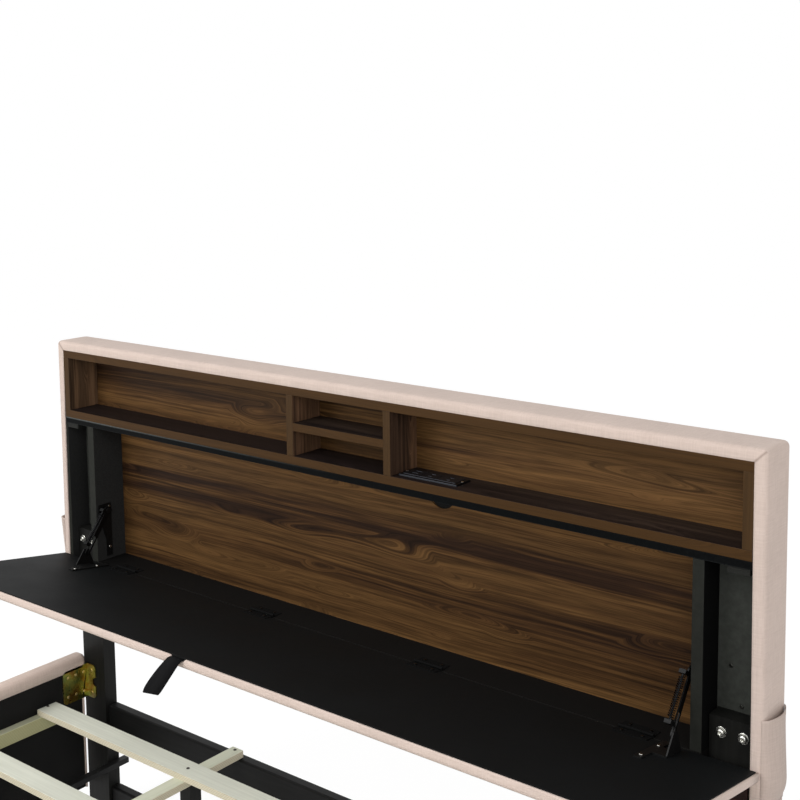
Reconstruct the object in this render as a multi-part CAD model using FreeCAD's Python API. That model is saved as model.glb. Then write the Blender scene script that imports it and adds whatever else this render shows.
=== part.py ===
import FreeCAD, Part
import math
import os

# Upholstered platform bed whose headboard has a niche, a drop flap and a storage compartment.
# Millimetres. X runs across the bed, Y from foot to head, Z up. The origin is on the floor, mid bed.

# overall size
bed_length = 2170.0
bed_width = 1600.0
headboard_height = 1070.0
headboard_depth = 80.0

# upholstery
padding = 3.0
soft_edge_r = 8.0
lining = 3.0

# headboard boards
shell_board = 16.0
walnut_board = 16.0
black_board = 18.5
back_panel_t = 3.0
back_cloth_t = 2.0
shell_skirt = 57.0
through = 1.0

# niche
niche_height = 113.5
cubby_width = 214.0
cubby_shelf_t = 15.0
cubby_lower_height = 47.5

# compartment
cabinet_top_t = 12.5
compartment_height = 295.0
post_play = 2.5
stile_play = 0.5
floor_board_t = 16.0
stile_t = 18.0
lower_front_t = 14.0

# cable hole in the back
cable_hole_r = 30.0
cable_hole_x = 178.0
cable_hole_below = 7.5
cloth_hole_r = 18.0

# power outlet in the shelf
outlet_x = 191.0
outlet_length = 124.0
outlet_width = 42.0
outlet_y = 36.0
outlet_face_t = 3.0
outlet_depth = 34.0
outlet_flange = 6.0
outlet_play = 0.5
outlet_panel_gap = 1.2
outlet_panel_lift = 0.8
outlet_panel_shares = (0.31, 0.29, 0.40)
socket_slot_w = 2.4
socket_slot_l = 8.0
usb_slot_w = 6.0
usb_slot_l = 14.0
outlet_screw_r = 2.4
outlet_screw_t = 0.8
outlet_round = 1.5
slot_apart = 12.0

# side pockets
pocket_chord = 68.0
pocket_front_y = 6.0
pocket_bulge = 14.0
pocket_mouth_rise = 149.0
pocket_bottom_rise = 7.0
pocket_wall = 2.0
pocket_rim = 1.5
pocket_seam = 5.0
pocket_foot_rise = 36.0
pocket_foot_flare = 1.5
pocket_foot_wall = 4.0

# headboard posts and their bolts
post_width = 70.0
post_t = 31.0
post_front_y = 20.5
post_in_shell = 128.0
glide_t = 4.0
glide_inset = 6.0
bolt_rises = (105.0, 25.0)
bolt_from_side = (16.0, 51.0)
bolt_shank_r = 4.0
bolt_hole_r = 4.25
bolt_head_r = 6.5
bolt_head_t = 4.0
bolt_round = 2.0
washer_r = 8.5
washer_t = 1.6

# cross rails and runners
upper_cross_t = 23.5
upper_cross_height = 70.0
lower_cross_t = 23.5
lower_cross_height = 40.0
lower_cross_top_z = 69.0
runner_t = 17.0
runner_height = 12.0
runner_bottom_z = 116.0
runner_past_post = 14.0

# side rails and foot rail
rail_board = 24.0
rail_top_z = 360.0
rail_bottom_z = 60.0
rail_return = 20.0
rail_head_gap = 6.0

# corner brackets
bracket_t = 3.0
bracket_length = 68.0
bracket_height = 76.0
bracket_below_top = 15.0
bracket_post_leaf = 27.0
bracket_bite_r = 10.0
bracket_corner_r = 9.0

# slats, cleats, supports and support legs
slat_width = 49.0
slat_t = 13.0
slat_top_z = 288.0
slat_first_gap = 70.0
slat_pitch = 206.0
slat_last_gap = 40.0
slat_end_gap = 5.0
cleat_t = 20.0
cleat_height = 30.0
cleat_end_gap = 27.0
support_x = 316.0
support_width = 30.0
support_t = 15.0
support_past_front = 40.0
support_screw_in = 9.0
leg_width = 30.0
leg_depth = 28.0
leg_rows = 3
leg_first_gap = 90.0
leg_last_gap = 110.0

# screws
screw_r = 3.2
screw_t = 1.4
screw_round = 0.9
bracket_screw_along = (14.0, 35.0, 56.0)
bracket_screw_up = 22.0
bracket_screw_in = 14.0
bracket_screw_apart = 25.0
stile_screws = ((51.0, 196.5), (33.0, 137.0))
hinge_screw_out = 18.0
hinge_screw_in = 14.0

# drop flap
flap_padding = 4.0
flap_board_t = 12.0
flap_liner_t = 2.0
flap_edge_r = 6.0
flap_gap = 0.5
flap_above_floor = 7.0
flap_open_angle = 80.6

# flap hinges
hinge_count = 4
hinge_end_gap = 90.0
hinge_length = 60.0
hinge_leaf_t = 1.2
hinge_leaf_width = 22.0
knuckle_r = 2.5
hinge_pin_r = 1.25
hinge_play = 0.05
knuckle_gap = 0.4
knuckle_reach = 3.5
axis_in = 2.7
axis_up = 3.4

# pull strap
strap_x = -84.0
strap_width = 30.0
strap_t = 3.6
strap_below_face = 4.0
strap_bend_r = 14.0
strap_bend = 46.0
strap_sweep_r = 180.0
strap_sweep = 20.0

# magnetic catches and strike plates
catch_from_side = 21.0
catch_length = 34.0
catch_depth = 16.0
catch_height = 10.0
catch_set_in = 2.0
pole_t = 1.6
pole_rises = (2.5, 6.5)
pole_out = 0.8
strike_length = 30.0
strike_height = 9.0
strike_t = 1.2

# flap stays, as points (y from the headboard's front, z from the floor board) on the right-hand stay
stay_plate_t = 2.5
stay_plate = ((38.0, 124.0), (5.0, 124.0), (5.0, 102.0), (24.0, 42.0), (24.0, 8.0), (38.0, 8.0))
stay_plate_screws = ((32.0, 116.0), (31.0, 27.5))
stay_pivot = (22.0, 111.0)
stay_reach = (-36.0, 34.5)
stay_pin_r = 3.0
stay_play = 0.05
stay_shoulder_r = 4.5
stay_pin_head_r = 5.5
stay_pin_head_t = 1.6
stay_side_gap = 0.6
arm_from_plate = 7.0
arm_t = 2.5
arm_back = 7.0
arm_front = 4.5
arm_head_r = 9.5
arm_slot_r = 3.4
arm_slot_past = 1.0
rod_offset = 14.0
rod_r = 1.75
rod_start = 6.0
rod_end = 82.0
seat_size = 11.0
seat_t = 6.0
spring_r = 4.2
spring_wire_r = 0.7
spring_turns = 18
spring_seat_gap = 0.3
spring_lead = 3.0
spring_lead_angle = 45.0
ear_t = 2.5
ear_half = 24.0
ear_tip_half = 6.0
ear_past_pin = 6.0
foot_t = 2.5
foot_width = 36.0
foot_narrow = 13.0
foot_start = 2.0
foot_length = 96.0
foot_cross_rise = 28.0
foot_cross_length = 34.0
foot_screws = (28.0, 85.0)

# derived planes
half_width = bed_width / 2
back_y = bed_length / 2
front_y = back_y - headboard_depth
foot_y = -bed_length / 2
band = padding + shell_board
inner_x = half_width - band
niche_back_y = back_y - back_cloth_t - back_panel_t
niche_top_z = headboard_height - band
niche_roof_z = niche_top_z - walnut_board
shelf_top_z = niche_roof_z - niche_height
shelf_bottom_z = shelf_top_z - walnut_board
ceiling_z = shelf_bottom_z - cabinet_top_t
floor_top_z = ceiling_z - compartment_height
floor_bottom_z = floor_top_z - floor_board_t
shell_bottom_z = floor_bottom_z - shell_skirt
post_back_y = front_y + post_front_y + post_t
post_top_z = shell_bottom_z + post_in_shell
post_inner_x = inner_x - post_width
inner_board_x = post_inner_x - post_play
compartment_x = inner_board_x - black_board
rail_thickness = 2 * padding + rail_board
rail_inner_x = half_width - rail_thickness
foot_inner_y = foot_y + rail_thickness
slat_bottom_z = slat_top_z - slat_t
support_bottom_z = slat_bottom_z - support_t
catch_x = inner_x - catch_from_side


def box(x0, x1, y0, y1, z0, z1):
    corner = FreeCAD.Vector(min(x0, x1), min(y0, y1), min(z0, z1))
    return Part.makeBox(abs(x1 - x0), abs(y1 - y0), abs(z1 - z0), corner)


def rod(start, along, length, radius):
    return Part.makeCylinder(radius, length, FreeCAD.Vector(*start), FreeCAD.Vector(*along))


def prism_x(points, x0, x1):
    corners = [FreeCAD.Vector(x0, y, z) for y, z in points]
    face = Part.Face(Part.makePolygon(corners + corners[:1]))
    return face.extrude(FreeCAD.Vector(x1 - x0, 0, 0))


def mirrored(shape):
    return shape.mirror(FreeCAD.Vector(0, 0, 0), FreeCAD.Vector(1, 0, 0))


def both_sides(shape):
    return [mirrored(shape), shape]


def save(name, shapes):
    solids = shapes if isinstance(shapes, list) else [shapes]
    shape = solids[0] if len(solids) == 1 else Part.makeCompound(solids)
    shape.exportStep("parts/" + name + ".step")
    print(name, len(shape.Solids), "solids, valid", shape.isValid())


def rounded(shape, radius, wanted):
    edges = [edge for edge in shape.Edges if wanted(edge.CenterOfMass)]
    return shape.makeFillet(radius, edges)


def screw(x, y, z, into):
    """A domed screw head on a surface; into points from the surface into the board."""
    inward = FreeCAD.Vector(*into)
    top = FreeCAD.Vector(x, y, z) - inward * screw_t
    head = Part.makeCylinder(screw_r, screw_t, top, inward)
    return rounded(head, screw_round, lambda c: (c - top).Length < screw_round)


def biarc(start, start_dir, end, end_dir):
    """Two arcs that leave start along start_dir and meet end along end_dir."""
    chord = end - start
    total = start_dir + end_dir
    spread = 2 * (1 - start_dir.dot(end_dir))
    lead = chord.dot(total)
    reach = (math.sqrt(lead * lead + spread * chord.dot(chord)) - lead) / spread
    meet = (start + start_dir * reach + end - end_dir * reach) * 0.5
    return [arc_from(start, start_dir, meet), arc_from(end, end_dir * -1, meet)]


def arc_from(start, direction, end):
    """The arc from start to end that leaves start along direction."""
    chord = end - start
    half = chord.Length / 2
    unit = chord * (1 / chord.Length)
    side = direction - unit * direction.dot(unit)
    bend = math.atan2(side.Length, direction.dot(unit))
    top = (start + end) * 0.5 + side * (half * math.tan(bend / 2) / side.Length)
    return Part.Arc(start, top, end).toShape()


os.makedirs("parts", exist_ok=True)

# Headboard shell: two side panels and a top panel, with one cover drawn over them.
side_panel = box(inner_x, half_width - padding, front_y + padding, back_y - back_cloth_t,
                 shell_bottom_z, niche_top_z)
save("side_panels", both_sides(side_panel))
save("top_panel", box(-half_width + padding, half_width - padding, front_y + padding,
                      back_y - back_cloth_t, niche_top_z, headboard_height - padding))

cover = box(-half_width, half_width, front_y, back_y, shell_bottom_z, headboard_height)
cover = rounded(cover, soft_edge_r, lambda c: c.z > shell_bottom_z + 1 and c.y < back_y - 1
                and (abs(c.x) > half_width - 1 or c.z > headboard_height - 1))
cover = cover.cut(box(-half_width + padding, half_width - padding, front_y + padding, back_y,
                      shell_bottom_z, headboard_height - padding))
cover = cover.cut(box(-inner_x, inner_x, front_y, front_y + padding, shell_bottom_z, niche_top_z))
save("headboard_cover", cover)

# Back: one walnut-faced sheet between the panels and a cloth behind it, each with a hole for a cable.
cable_hole_z = ceiling_z - cable_hole_below


def cable_hole(radius):
    return rod((cable_hole_x, niche_back_y - through, cable_hole_z), (0, 1, 0),
               back_panel_t + back_cloth_t + 2 * through, radius)


back_panel = box(-inner_x, inner_x, niche_back_y, back_y - back_cloth_t, floor_bottom_z, niche_top_z)
save("back_panel", back_panel.cut(cable_hole(cable_hole_r)))
back_cloth = box(-half_width + padding, half_width - padding, back_y - back_cloth_t, back_y,
                 shell_bottom_z, headboard_height - padding)
save("back_cloth", back_cloth.cut(cable_hole(cloth_hole_r)))

# Niche: walnut boards, their front edges flush with the cover.
save("niche_top", box(-inner_x, inner_x, front_y, niche_back_y, niche_roof_z, niche_top_z))
niche_side = box(inner_x - walnut_board, inner_x, front_y, niche_back_y, shelf_top_z, niche_roof_z)
save("niche_sides", both_sides(niche_side))

# Power outlet: its housing passes through the shelf and the black board under it.
outlet_mid_y = front_y + outlet_y
outlet_x0 = outlet_x - outlet_length / 2
outlet_y0 = outlet_mid_y - outlet_width / 2
body_x = outlet_length / 2 - outlet_flange
body_y = outlet_width / 2 - outlet_flange
outlet_body = box(outlet_x - body_x, outlet_x + body_x, outlet_mid_y - body_y, outlet_mid_y + body_y,
                  shelf_top_z - outlet_depth, shelf_top_z)
well_x = body_x + outlet_play
well_y = body_y + outlet_play
outlet_well = box(outlet_x - well_x, outlet_x + well_x, outlet_mid_y - well_y, outlet_mid_y + well_y,
                  ceiling_z, shelf_top_z)
outlet_frame = box(outlet_x0, outlet_x0 + outlet_length, outlet_y0, outlet_y0 + outlet_width,
                   shelf_top_z, shelf_top_z + outlet_face_t)
outlet_frame = rounded(outlet_frame, outlet_round, lambda c: c.z > shelf_top_z + 1)
save("outlet_housing", outlet_body.fuse(outlet_frame))

panel_z = shelf_top_z + outlet_face_t
panels = []
panel_x = outlet_x0 + outlet_flange
for number, share in enumerate(outlet_panel_shares):
    panel_length = share * (outlet_length - 2 * outlet_flange)
    panel_x1 = panel_x + panel_length - outlet_panel_gap
    panel = box(panel_x, panel_x1, outlet_y0 + outlet_flange, outlet_y0 + outlet_width - outlet_flange,
                panel_z, panel_z + outlet_panel_lift)
    middle_x = (panel_x + panel_x1) / 2
    slot_w = usb_slot_w if number == 0 else socket_slot_w
    slot_l = usb_slot_l if number == 0 else socket_slot_l
    for side in (-1, 1):
        slot_y = outlet_mid_y + side * slot_apart / 2
        panel = panel.cut(box(middle_x - slot_l / 2, middle_x + slot_l / 2, slot_y - slot_w / 2,
                              slot_y + slot_w / 2, panel_z, panel_z + outlet_panel_lift))
    panels.append(panel)
    panel_x += panel_length
save("outlet_panels", panels)

outlet_screws = []
for x in (outlet_x0 + outlet_flange / 2, outlet_x0 + outlet_length - outlet_flange / 2):
    outlet_screws.append(rod((x, outlet_mid_y, panel_z), (0, 0, 1), outlet_screw_t, outlet_screw_r))
save("outlet_screws", outlet_screws)

shelf = box(-inner_x, inner_x, front_y, niche_back_y, shelf_bottom_z, shelf_top_z)
save("shelf", shelf.cut(outlet_well))
cabinet_top = box(-inner_x, inner_x, front_y, niche_back_y, ceiling_z, shelf_bottom_z)
save("cabinet_top", cabinet_top.cut(outlet_well))

divider_x = cubby_width / 2
divider = box(divider_x, divider_x + walnut_board, front_y, niche_back_y, shelf_top_z, niche_roof_z)
save("dividers", both_sides(divider))
cubby_z = shelf_top_z + cubby_lower_height
save("mid_shelf", box(-divider_x, divider_x, front_y, niche_back_y, cubby_z, cubby_z + cubby_shelf_t))

# Compartment: black boards standing on a floor board, stiles behind the posts, a lower front board.
inner_board = box(compartment_x, inner_board_x, front_y, niche_back_y, floor_top_z, ceiling_z)
save("inner_board_left", mirrored(inner_board))
save("inner_board_right", inner_board)
save("floor_board", box(-inner_board_x, inner_board_x, front_y, niche_back_y,
                        floor_bottom_z, floor_top_z))
save("lower_front_board", box(-inner_x, inner_x, front_y, front_y + lower_front_t,
                              shell_bottom_z, floor_bottom_z))

post_bolts = []
bolt_holes = []
for bolt_rise in bolt_rises:
    bolt_height = shell_bottom_z + bolt_rise
    for inset in bolt_from_side:
        x = inner_x - inset
        face = front_y + post_front_y
        shank = rod((x, face, bolt_height), (0, 1, 0), post_t + stile_t, bolt_shank_r)
        washer = rod((x, face - washer_t, bolt_height), (0, 1, 0), washer_t, washer_r)
        head = rod((x, face - washer_t - bolt_head_t, bolt_height), (0, 1, 0), bolt_head_t, bolt_head_r)
        head_front = face - washer_t - bolt_head_t
        head = rounded(head, bolt_round, lambda c: c.y < head_front + 0.1)
        post_bolts.append(shank.fuse([washer, head]))
        bolt_holes.append(rod((x, face, bolt_height), (0, 1, 0), post_t + stile_t, bolt_hole_r))
save("post_bolts", [mirrored(bolt) for bolt in post_bolts] + post_bolts)

stile = box(inner_board_x + stile_play, inner_x, post_back_y, post_back_y + stile_t,
            shell_bottom_z, ceiling_z)
save("stiles", both_sides(stile.cut(bolt_holes)))

# Side pockets: bowed cloth sewn to the shell along its two upright edges and its foot.
chord_y = front_y + pocket_front_y + pocket_chord / 2
pocket_mouth_z = shell_bottom_z + pocket_mouth_rise
pocket_bottom_z = shell_bottom_z + pocket_bottom_rise


def pouch(bulge, rim, chord, bottom, top):
    """A pouch bowed out from the shell's side, its sewn edges as thick as rim, its foot drawn in."""
    low = chord_y - chord / 2
    high = chord_y + chord / 2
    sewn_x = half_width + rim
    plan = [FreeCAD.Vector(half_width, low, bottom), FreeCAD.Vector(sewn_x, low, bottom),
            FreeCAD.Vector(half_width + bulge, chord_y, bottom), FreeCAD.Vector(sewn_x, high, bottom),
            FreeCAD.Vector(half_width, high, bottom)]
    bowed = pouch_face(plan).extrude(FreeCAD.Vector(0, 0, top - bottom))
    belly = FreeCAD.Vector(half_width + bulge, low, bottom + pocket_foot_rise)
    side = [FreeCAD.Vector(half_width, low, bottom), FreeCAD.Vector(sewn_x, low, bottom), belly,
            FreeCAD.Vector(half_width + bulge * pocket_foot_flare, low, top),
            FreeCAD.Vector(half_width, low, top)]
    return bowed.common(pouch_face(side).extrude(FreeCAD.Vector(0, chord, 0)))


def pouch_face(points):
    """Four straight sides and, in place of the second point's far side, an arc through the third."""
    start, arc_start, arc_mid, arc_end, end = points
    return Part.Face(Part.Wire([Part.makeLine(start, arc_start),
                                Part.Arc(arc_start, arc_mid, arc_end).toShape(),
                                Part.makeLine(arc_end, end), Part.makeLine(end, start)]))


pocket = pouch(pocket_bulge, pocket_rim, pocket_chord, pocket_bottom_z, pocket_mouth_z)
pocket = pocket.cut(pouch(pocket_bulge - pocket_wall, pocket_rim, pocket_chord - 2 * pocket_seam,
                          pocket_bottom_z + pocket_foot_wall, pocket_mouth_z))
save("pocket_left", mirrored(pocket))
save("pocket_right", pocket)

# Magnetic catches under the cabinet top, with two steel poles that meet the flap's strike plates.
catch_front = front_y + catch_set_in
catch = box(catch_x - catch_length / 2, catch_x + catch_length / 2, catch_front,
            catch_front + catch_depth, ceiling_z - catch_height, ceiling_z)
for low in pole_rises:
    pole_z = ceiling_z - catch_height + low
    catch = catch.fuse(box(catch_x - strike_length / 2, catch_x + strike_length / 2,
                           catch_front - pole_out, catch_front, pole_z, pole_z + pole_t))
save("magnetic_catches", both_sides(catch))

# Headboard posts stand on glides and carry the headboard; cross rails and runners join them.
post = box(post_inner_x, inner_x, front_y + post_front_y, post_back_y, glide_t, post_top_z)
post = post.cut(bolt_holes)
save("post_left", mirrored(post))
save("post_right", post)

upper_cross_z = support_bottom_z - upper_cross_height
upper_rails = [box(-post_inner_x, post_inner_x, post_back_y - upper_cross_t, post_back_y,
                   upper_cross_z, support_bottom_z),
               box(-post_inner_x, post_inner_x, foot_inner_y, foot_inner_y + upper_cross_t,
                   upper_cross_z, support_bottom_z)]
save("upper_cross_rails", upper_rails)
lower_cross_z = lower_cross_top_z - lower_cross_height
lower_rails = [box(-post_inner_x, post_inner_x, post_back_y - lower_cross_t, post_back_y,
                   lower_cross_z, lower_cross_top_z),
               box(-post_inner_x, post_inner_x, foot_inner_y, foot_inner_y + lower_cross_t,
                   lower_cross_z, lower_cross_top_z)]
save("lower_cross_rails", lower_rails)
runner = box(post_inner_x - runner_t, post_inner_x, foot_inner_y, post_back_y + runner_past_post,
             runner_bottom_z, runner_bottom_z + runner_height)
save("runners", both_sides(runner))
foot_post = box(post_inner_x, rail_inner_x, foot_inner_y, foot_inner_y + post_t,
                glide_t, rail_top_z - bracket_below_top - bracket_height)
save("foot_posts", both_sides(foot_post))

# Side rails and foot rail: boards with a cover over the outside, the top and the inner upper edge.
rail_head_y = front_y + rail_head_gap
rail_board_y = rail_head_y - padding
rail = box(rail_inner_x + padding, half_width - padding, foot_inner_y, rail_board_y,
           rail_bottom_z, rail_top_z - padding)
save("side_rail_left", mirrored(rail))
save("side_rail_right", rail)
return_z = rail_top_z - rail_return


def rail_side_cover():
    outside = box(rail_inner_x, half_width, foot_inner_y, rail_head_y, rail_bottom_z, rail_top_z)
    outside = rounded(outside, soft_edge_r, lambda c: c.z > rail_top_z - 1
                      and abs(c.x - (rail_inner_x + half_width) / 2) > rail_thickness / 3)
    outside = outside.cut(rail)
    return outside.cut(box(rail_inner_x, rail_inner_x + padding, foot_inner_y, rail_board_y,
                           rail_bottom_z, return_z))


rail_cover = rail_side_cover()
save("rail_cover_left", mirrored(rail_cover))
save("rail_cover_right", rail_cover)

foot_rail = box(-half_width + padding, half_width - padding, foot_y + padding, foot_inner_y - padding,
                rail_bottom_z, rail_top_z - padding)
save("foot_rail", foot_rail)
foot_cover = box(-half_width, half_width, foot_y, foot_inner_y, rail_bottom_z, rail_top_z)
foot_cover = rounded(foot_cover, soft_edge_r, lambda c: c.z > rail_bottom_z + 1
                     and (c.z > rail_top_z - 1 or c.y < foot_y + 1))
foot_cover = foot_cover.cut(foot_rail)
foot_cover = foot_cover.cut(box(-rail_inner_x, rail_inner_x, foot_inner_y - padding, foot_inner_y,
                                rail_bottom_z, return_z))
save("foot_cover", foot_cover)
side_lining = box(rail_inner_x, rail_inner_x + lining, foot_inner_y, rail_board_y,
                  rail_bottom_z, return_z)
foot_lining = box(-rail_inner_x, rail_inner_x, foot_inner_y - lining, foot_inner_y,
                  rail_bottom_z, return_z)
save("rail_linings", both_sides(side_lining) + [foot_lining])

# Corner brackets: a long leaf on the rail and a short one, bitten at its edge, on the post.
bracket_top = rail_top_z - bracket_below_top
bracket_bottom = bracket_top - bracket_height
bracket_x = rail_inner_x - bracket_t
bracket_mid_z = (bracket_top + bracket_bottom) / 2


def corner_bracket(face_y, direction):
    """An angle whose short leaf lies on face_y and whose long leaf runs in direction along the rail."""
    long_leaf = box(bracket_x, rail_inner_x, face_y, face_y + direction * bracket_length,
                    bracket_bottom, bracket_top)
    end = face_y + direction * bracket_length
    long_leaf = rounded(long_leaf, bracket_corner_r, lambda c: abs(c.y - end) < 0.1
                        and abs(c.z - bracket_mid_z) > bracket_height / 3
                        and abs(c.x - (bracket_x + rail_inner_x) / 2) < 0.1)
    short_leaf = box(bracket_x - bracket_post_leaf, bracket_x, face_y, face_y + direction * bracket_t,
                     bracket_bottom, bracket_top)
    edge = bracket_x - bracket_post_leaf
    short_leaf = rounded(short_leaf, bracket_corner_r, lambda c: abs(c.x - edge) < 0.1
                         and abs(c.z - bracket_mid_z) > bracket_height / 3)
    bite = rod((edge, face_y - 2 * bracket_t, bracket_mid_z), (0, 1, 0), 4 * bracket_t, bracket_bite_r)
    return long_leaf.fuse(short_leaf.cut(bite)).removeSplitter()


head_bracket = corner_bracket(front_y + post_front_y, -1)
foot_bracket = corner_bracket(foot_inner_y, 1)
save("corner_brackets", both_sides(head_bracket) + both_sides(foot_bracket))

# Cleats along the rails carry the slats' ends; two supports on legs carry their middles.
cleat = box(rail_inner_x - cleat_t, rail_inner_x, foot_inner_y + bracket_length + cleat_end_gap,
            front_y + post_front_y - bracket_length - cleat_end_gap,
            slat_bottom_z - cleat_height, slat_bottom_z)
save("cleats", both_sides(cleat))

slat_run = front_y - foot_inner_y - slat_first_gap - slat_width - slat_last_gap
slat_count = int(slat_run // slat_pitch) + 1
slats = []
slat_middles = []
for number in range(slat_count):
    slat_back = front_y - slat_first_gap - number * slat_pitch
    slat_middles.append(slat_back - slat_width / 2)
    slat = box(-rail_inner_x + slat_end_gap, rail_inner_x - slat_end_gap, slat_back - slat_width,
               slat_back, slat_bottom_z, slat_top_z)
    slats.append(slat)
save("slats", slats)

slat_screws = []
for middle in slat_middles:
    for x in (rail_inner_x - cleat_t / 2, support_x):
        slat_screws += both_sides(screw(x, middle, slat_top_z, (0, 0, -1)))
support_end = front_y + support_past_front
slat_screws += both_sides(screw(support_x, support_end - support_screw_in, slat_bottom_z, (0, 0, -1)))
save("slat_screws", slat_screws)

support = box(support_x - support_width / 2, support_x + support_width / 2,
              foot_inner_y, support_end, support_bottom_z, slat_bottom_z)
save("supports", both_sides(support))

leg_head_y = front_y - leg_first_gap
leg_foot_y = foot_inner_y + leg_last_gap
legs = []
leg_glides = []
for row in range(leg_rows):
    leg_y = leg_head_y + (leg_foot_y - leg_head_y) * row / (leg_rows - 1)
    leg = box(support_x - leg_width / 2, support_x + leg_width / 2, leg_y - leg_depth / 2,
              leg_y + leg_depth / 2, glide_t, support_bottom_z)
    legs += both_sides(leg)
    leg_glides += both_sides(rod((support_x, leg_y, 0), (0, 0, 1), glide_t,
                                 leg_depth / 2 - glide_inset / 2))
save("support_legs", legs)
for x0, x1, y0, y1 in ((post_inner_x, inner_x, front_y + post_front_y, post_back_y),
                       (post_inner_x, rail_inner_x, foot_inner_y, foot_inner_y + post_t)):
    glide = box(x0 + glide_inset, x1 - glide_inset, y0 + glide_inset, y1 - glide_inset, 0, glide_t)
    leg_glides += both_sides(glide)
save("glides", leg_glides)

# Drop flap, drawn shut and then swung open: board, black liner inside, cover outside and at the edges.
axis_y = front_y + axis_in
axis_z = floor_top_z + axis_up
flap_low_z = floor_top_z + flap_above_floor
flap_high_z = shelf_top_z
flap_inner_y = front_y - flap_gap
flap_t = flap_padding + flap_board_t + flap_liner_t
flap_outer_y = flap_inner_y - flap_t


def opened(shape):
    swung = shape.copy()
    swung.rotate(FreeCAD.Vector(0, axis_y, axis_z), FreeCAD.Vector(1, 0, 0), flap_open_angle)
    return swung


flap_core_x = half_width - flap_padding
flap_core = box(-flap_core_x, flap_core_x, flap_outer_y + flap_padding, flap_inner_y,
                flap_low_z + flap_padding, flap_high_z - flap_padding)
flap_cover = box(-half_width, half_width, flap_outer_y, flap_inner_y, flap_low_z, flap_high_z)
flap_cover = rounded(flap_cover, flap_edge_r, lambda c: c.y < flap_inner_y - 1)
save("flap_cover", opened(flap_cover.cut(flap_core)))
save("flap_board", opened(box(-flap_core_x, flap_core_x, flap_outer_y + flap_padding,
                              flap_inner_y - flap_liner_t, flap_low_z + flap_padding,
                              flap_high_z - flap_padding)))
save("flap_liner", opened(box(-flap_core_x, flap_core_x, flap_inner_y - flap_liner_t, flap_inner_y,
                              flap_low_z + flap_padding, flap_high_z - flap_padding)))

strike_z = ceiling_z - catch_height / 2
strike = box(catch_x - strike_length / 2, catch_x + strike_length / 2, flap_inner_y,
             flap_inner_y + strike_t, strike_z - strike_height / 2, strike_z + strike_height / 2)
save("strike_plates", [opened(plate) for plate in both_sides(strike)])

# Butt hinges: three knuckles on a pin, the outer two with the cabinet leaf, the middle with the flap's.
cabinet_leaves = []
flap_leaves = []
hinge_pins = []
cabinet_screws = []
flap_screws = []
third = hinge_length / 3
leaf_low_z = axis_z + knuckle_reach
leaf_face_y = flap_inner_y + hinge_leaf_t
hinge_far_x = compartment_x - hinge_end_gap
for number in range(hinge_count):
    x = hinge_far_x * (2 * number / (hinge_count - 1) - 1)
    left = x - hinge_length / 2
    right = left + hinge_length
    mid_left = left + third
    mid_right = right - third
    bore = rod((left, axis_y, axis_z), (1, 0, 0), hinge_length, hinge_pin_r + hinge_play)
    cabinet_leaf = box(left, right, axis_y, axis_y + hinge_leaf_width,
                       floor_top_z, floor_top_z + hinge_leaf_t)
    cabinet_leaf = cabinet_leaf.cut(box(mid_left, mid_right, axis_y, axis_y + knuckle_reach,
                                        floor_top_z, floor_top_z + hinge_leaf_t))
    for knuckle_x in (left, mid_right):
        cabinet_leaf = cabinet_leaf.fuse(rod((knuckle_x, axis_y, axis_z), (1, 0, 0), third, knuckle_r))
    cabinet_leaves.append(cabinet_leaf.cut(bore))
    flap_leaf = box(left, right, flap_inner_y, leaf_face_y, leaf_low_z, axis_z + hinge_leaf_width)
    neck_left = mid_left + knuckle_gap
    neck_right = mid_right - knuckle_gap
    neck = box(neck_left, neck_right, flap_inner_y, leaf_face_y, axis_z, leaf_low_z)
    knuckle = rod((neck_left, axis_y, axis_z), (1, 0, 0), neck_right - neck_left, knuckle_r)
    flap_leaves.append(opened(flap_leaf.fuse([neck, knuckle]).cut(bore)))
    hinge_pins.append(rod((left, axis_y, axis_z), (1, 0, 0), hinge_length, hinge_pin_r))
    for screw_x in (x - hinge_screw_out, x + hinge_screw_out):
        cabinet_screws.append(screw(screw_x, axis_y + hinge_screw_in, floor_top_z + hinge_leaf_t,
                                    (0, 0, -1)))
        flap_screws.append(opened(screw(screw_x, leaf_face_y, axis_z + hinge_screw_in, (0, -1, 0))))
save("hinge_leaves_cabinet", cabinet_leaves)
save("hinge_leaves_flap", flap_leaves)
save("hinge_pins", hinge_pins)

# Pull strap: doubled webbing sewn into the flap's free edge, bent over it and hanging in a long curve.
strap_y = flap_inner_y - strap_below_face
strap_left = strap_x - strap_width / 2
bend_turn = math.radians(strap_bend)
sweep_turn = math.radians(strap_sweep)


def on_arc(centre, radius, turn):
    """A point of the strap's side by its turn from upright towards the flap's outside."""
    y = centre[0] + radius * math.cos(turn)
    return FreeCAD.Vector(strap_left, y, centre[1] + radius * math.sin(turn))


def strap_edge(offset):
    """The strap's two arcs on the shut flap, moved outwards by offset from its middle."""
    bend_centre = (strap_y - strap_bend_r, flap_high_z)
    shift = strap_bend_r - strap_sweep_r
    sweep_centre = (bend_centre[0] + shift * math.cos(bend_turn),
                    bend_centre[1] + shift * math.sin(bend_turn))
    bend_r = strap_bend_r + offset
    sweep_r = strap_sweep_r + offset
    turns = (bend_turn, bend_turn + sweep_turn / 2, bend_turn + sweep_turn)
    bend = [on_arc(bend_centre, bend_r, turn) for turn in (0, bend_turn / 2, bend_turn)]
    sweep = [on_arc(sweep_centre, sweep_r, turn) for turn in turns]
    return bend, sweep


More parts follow.
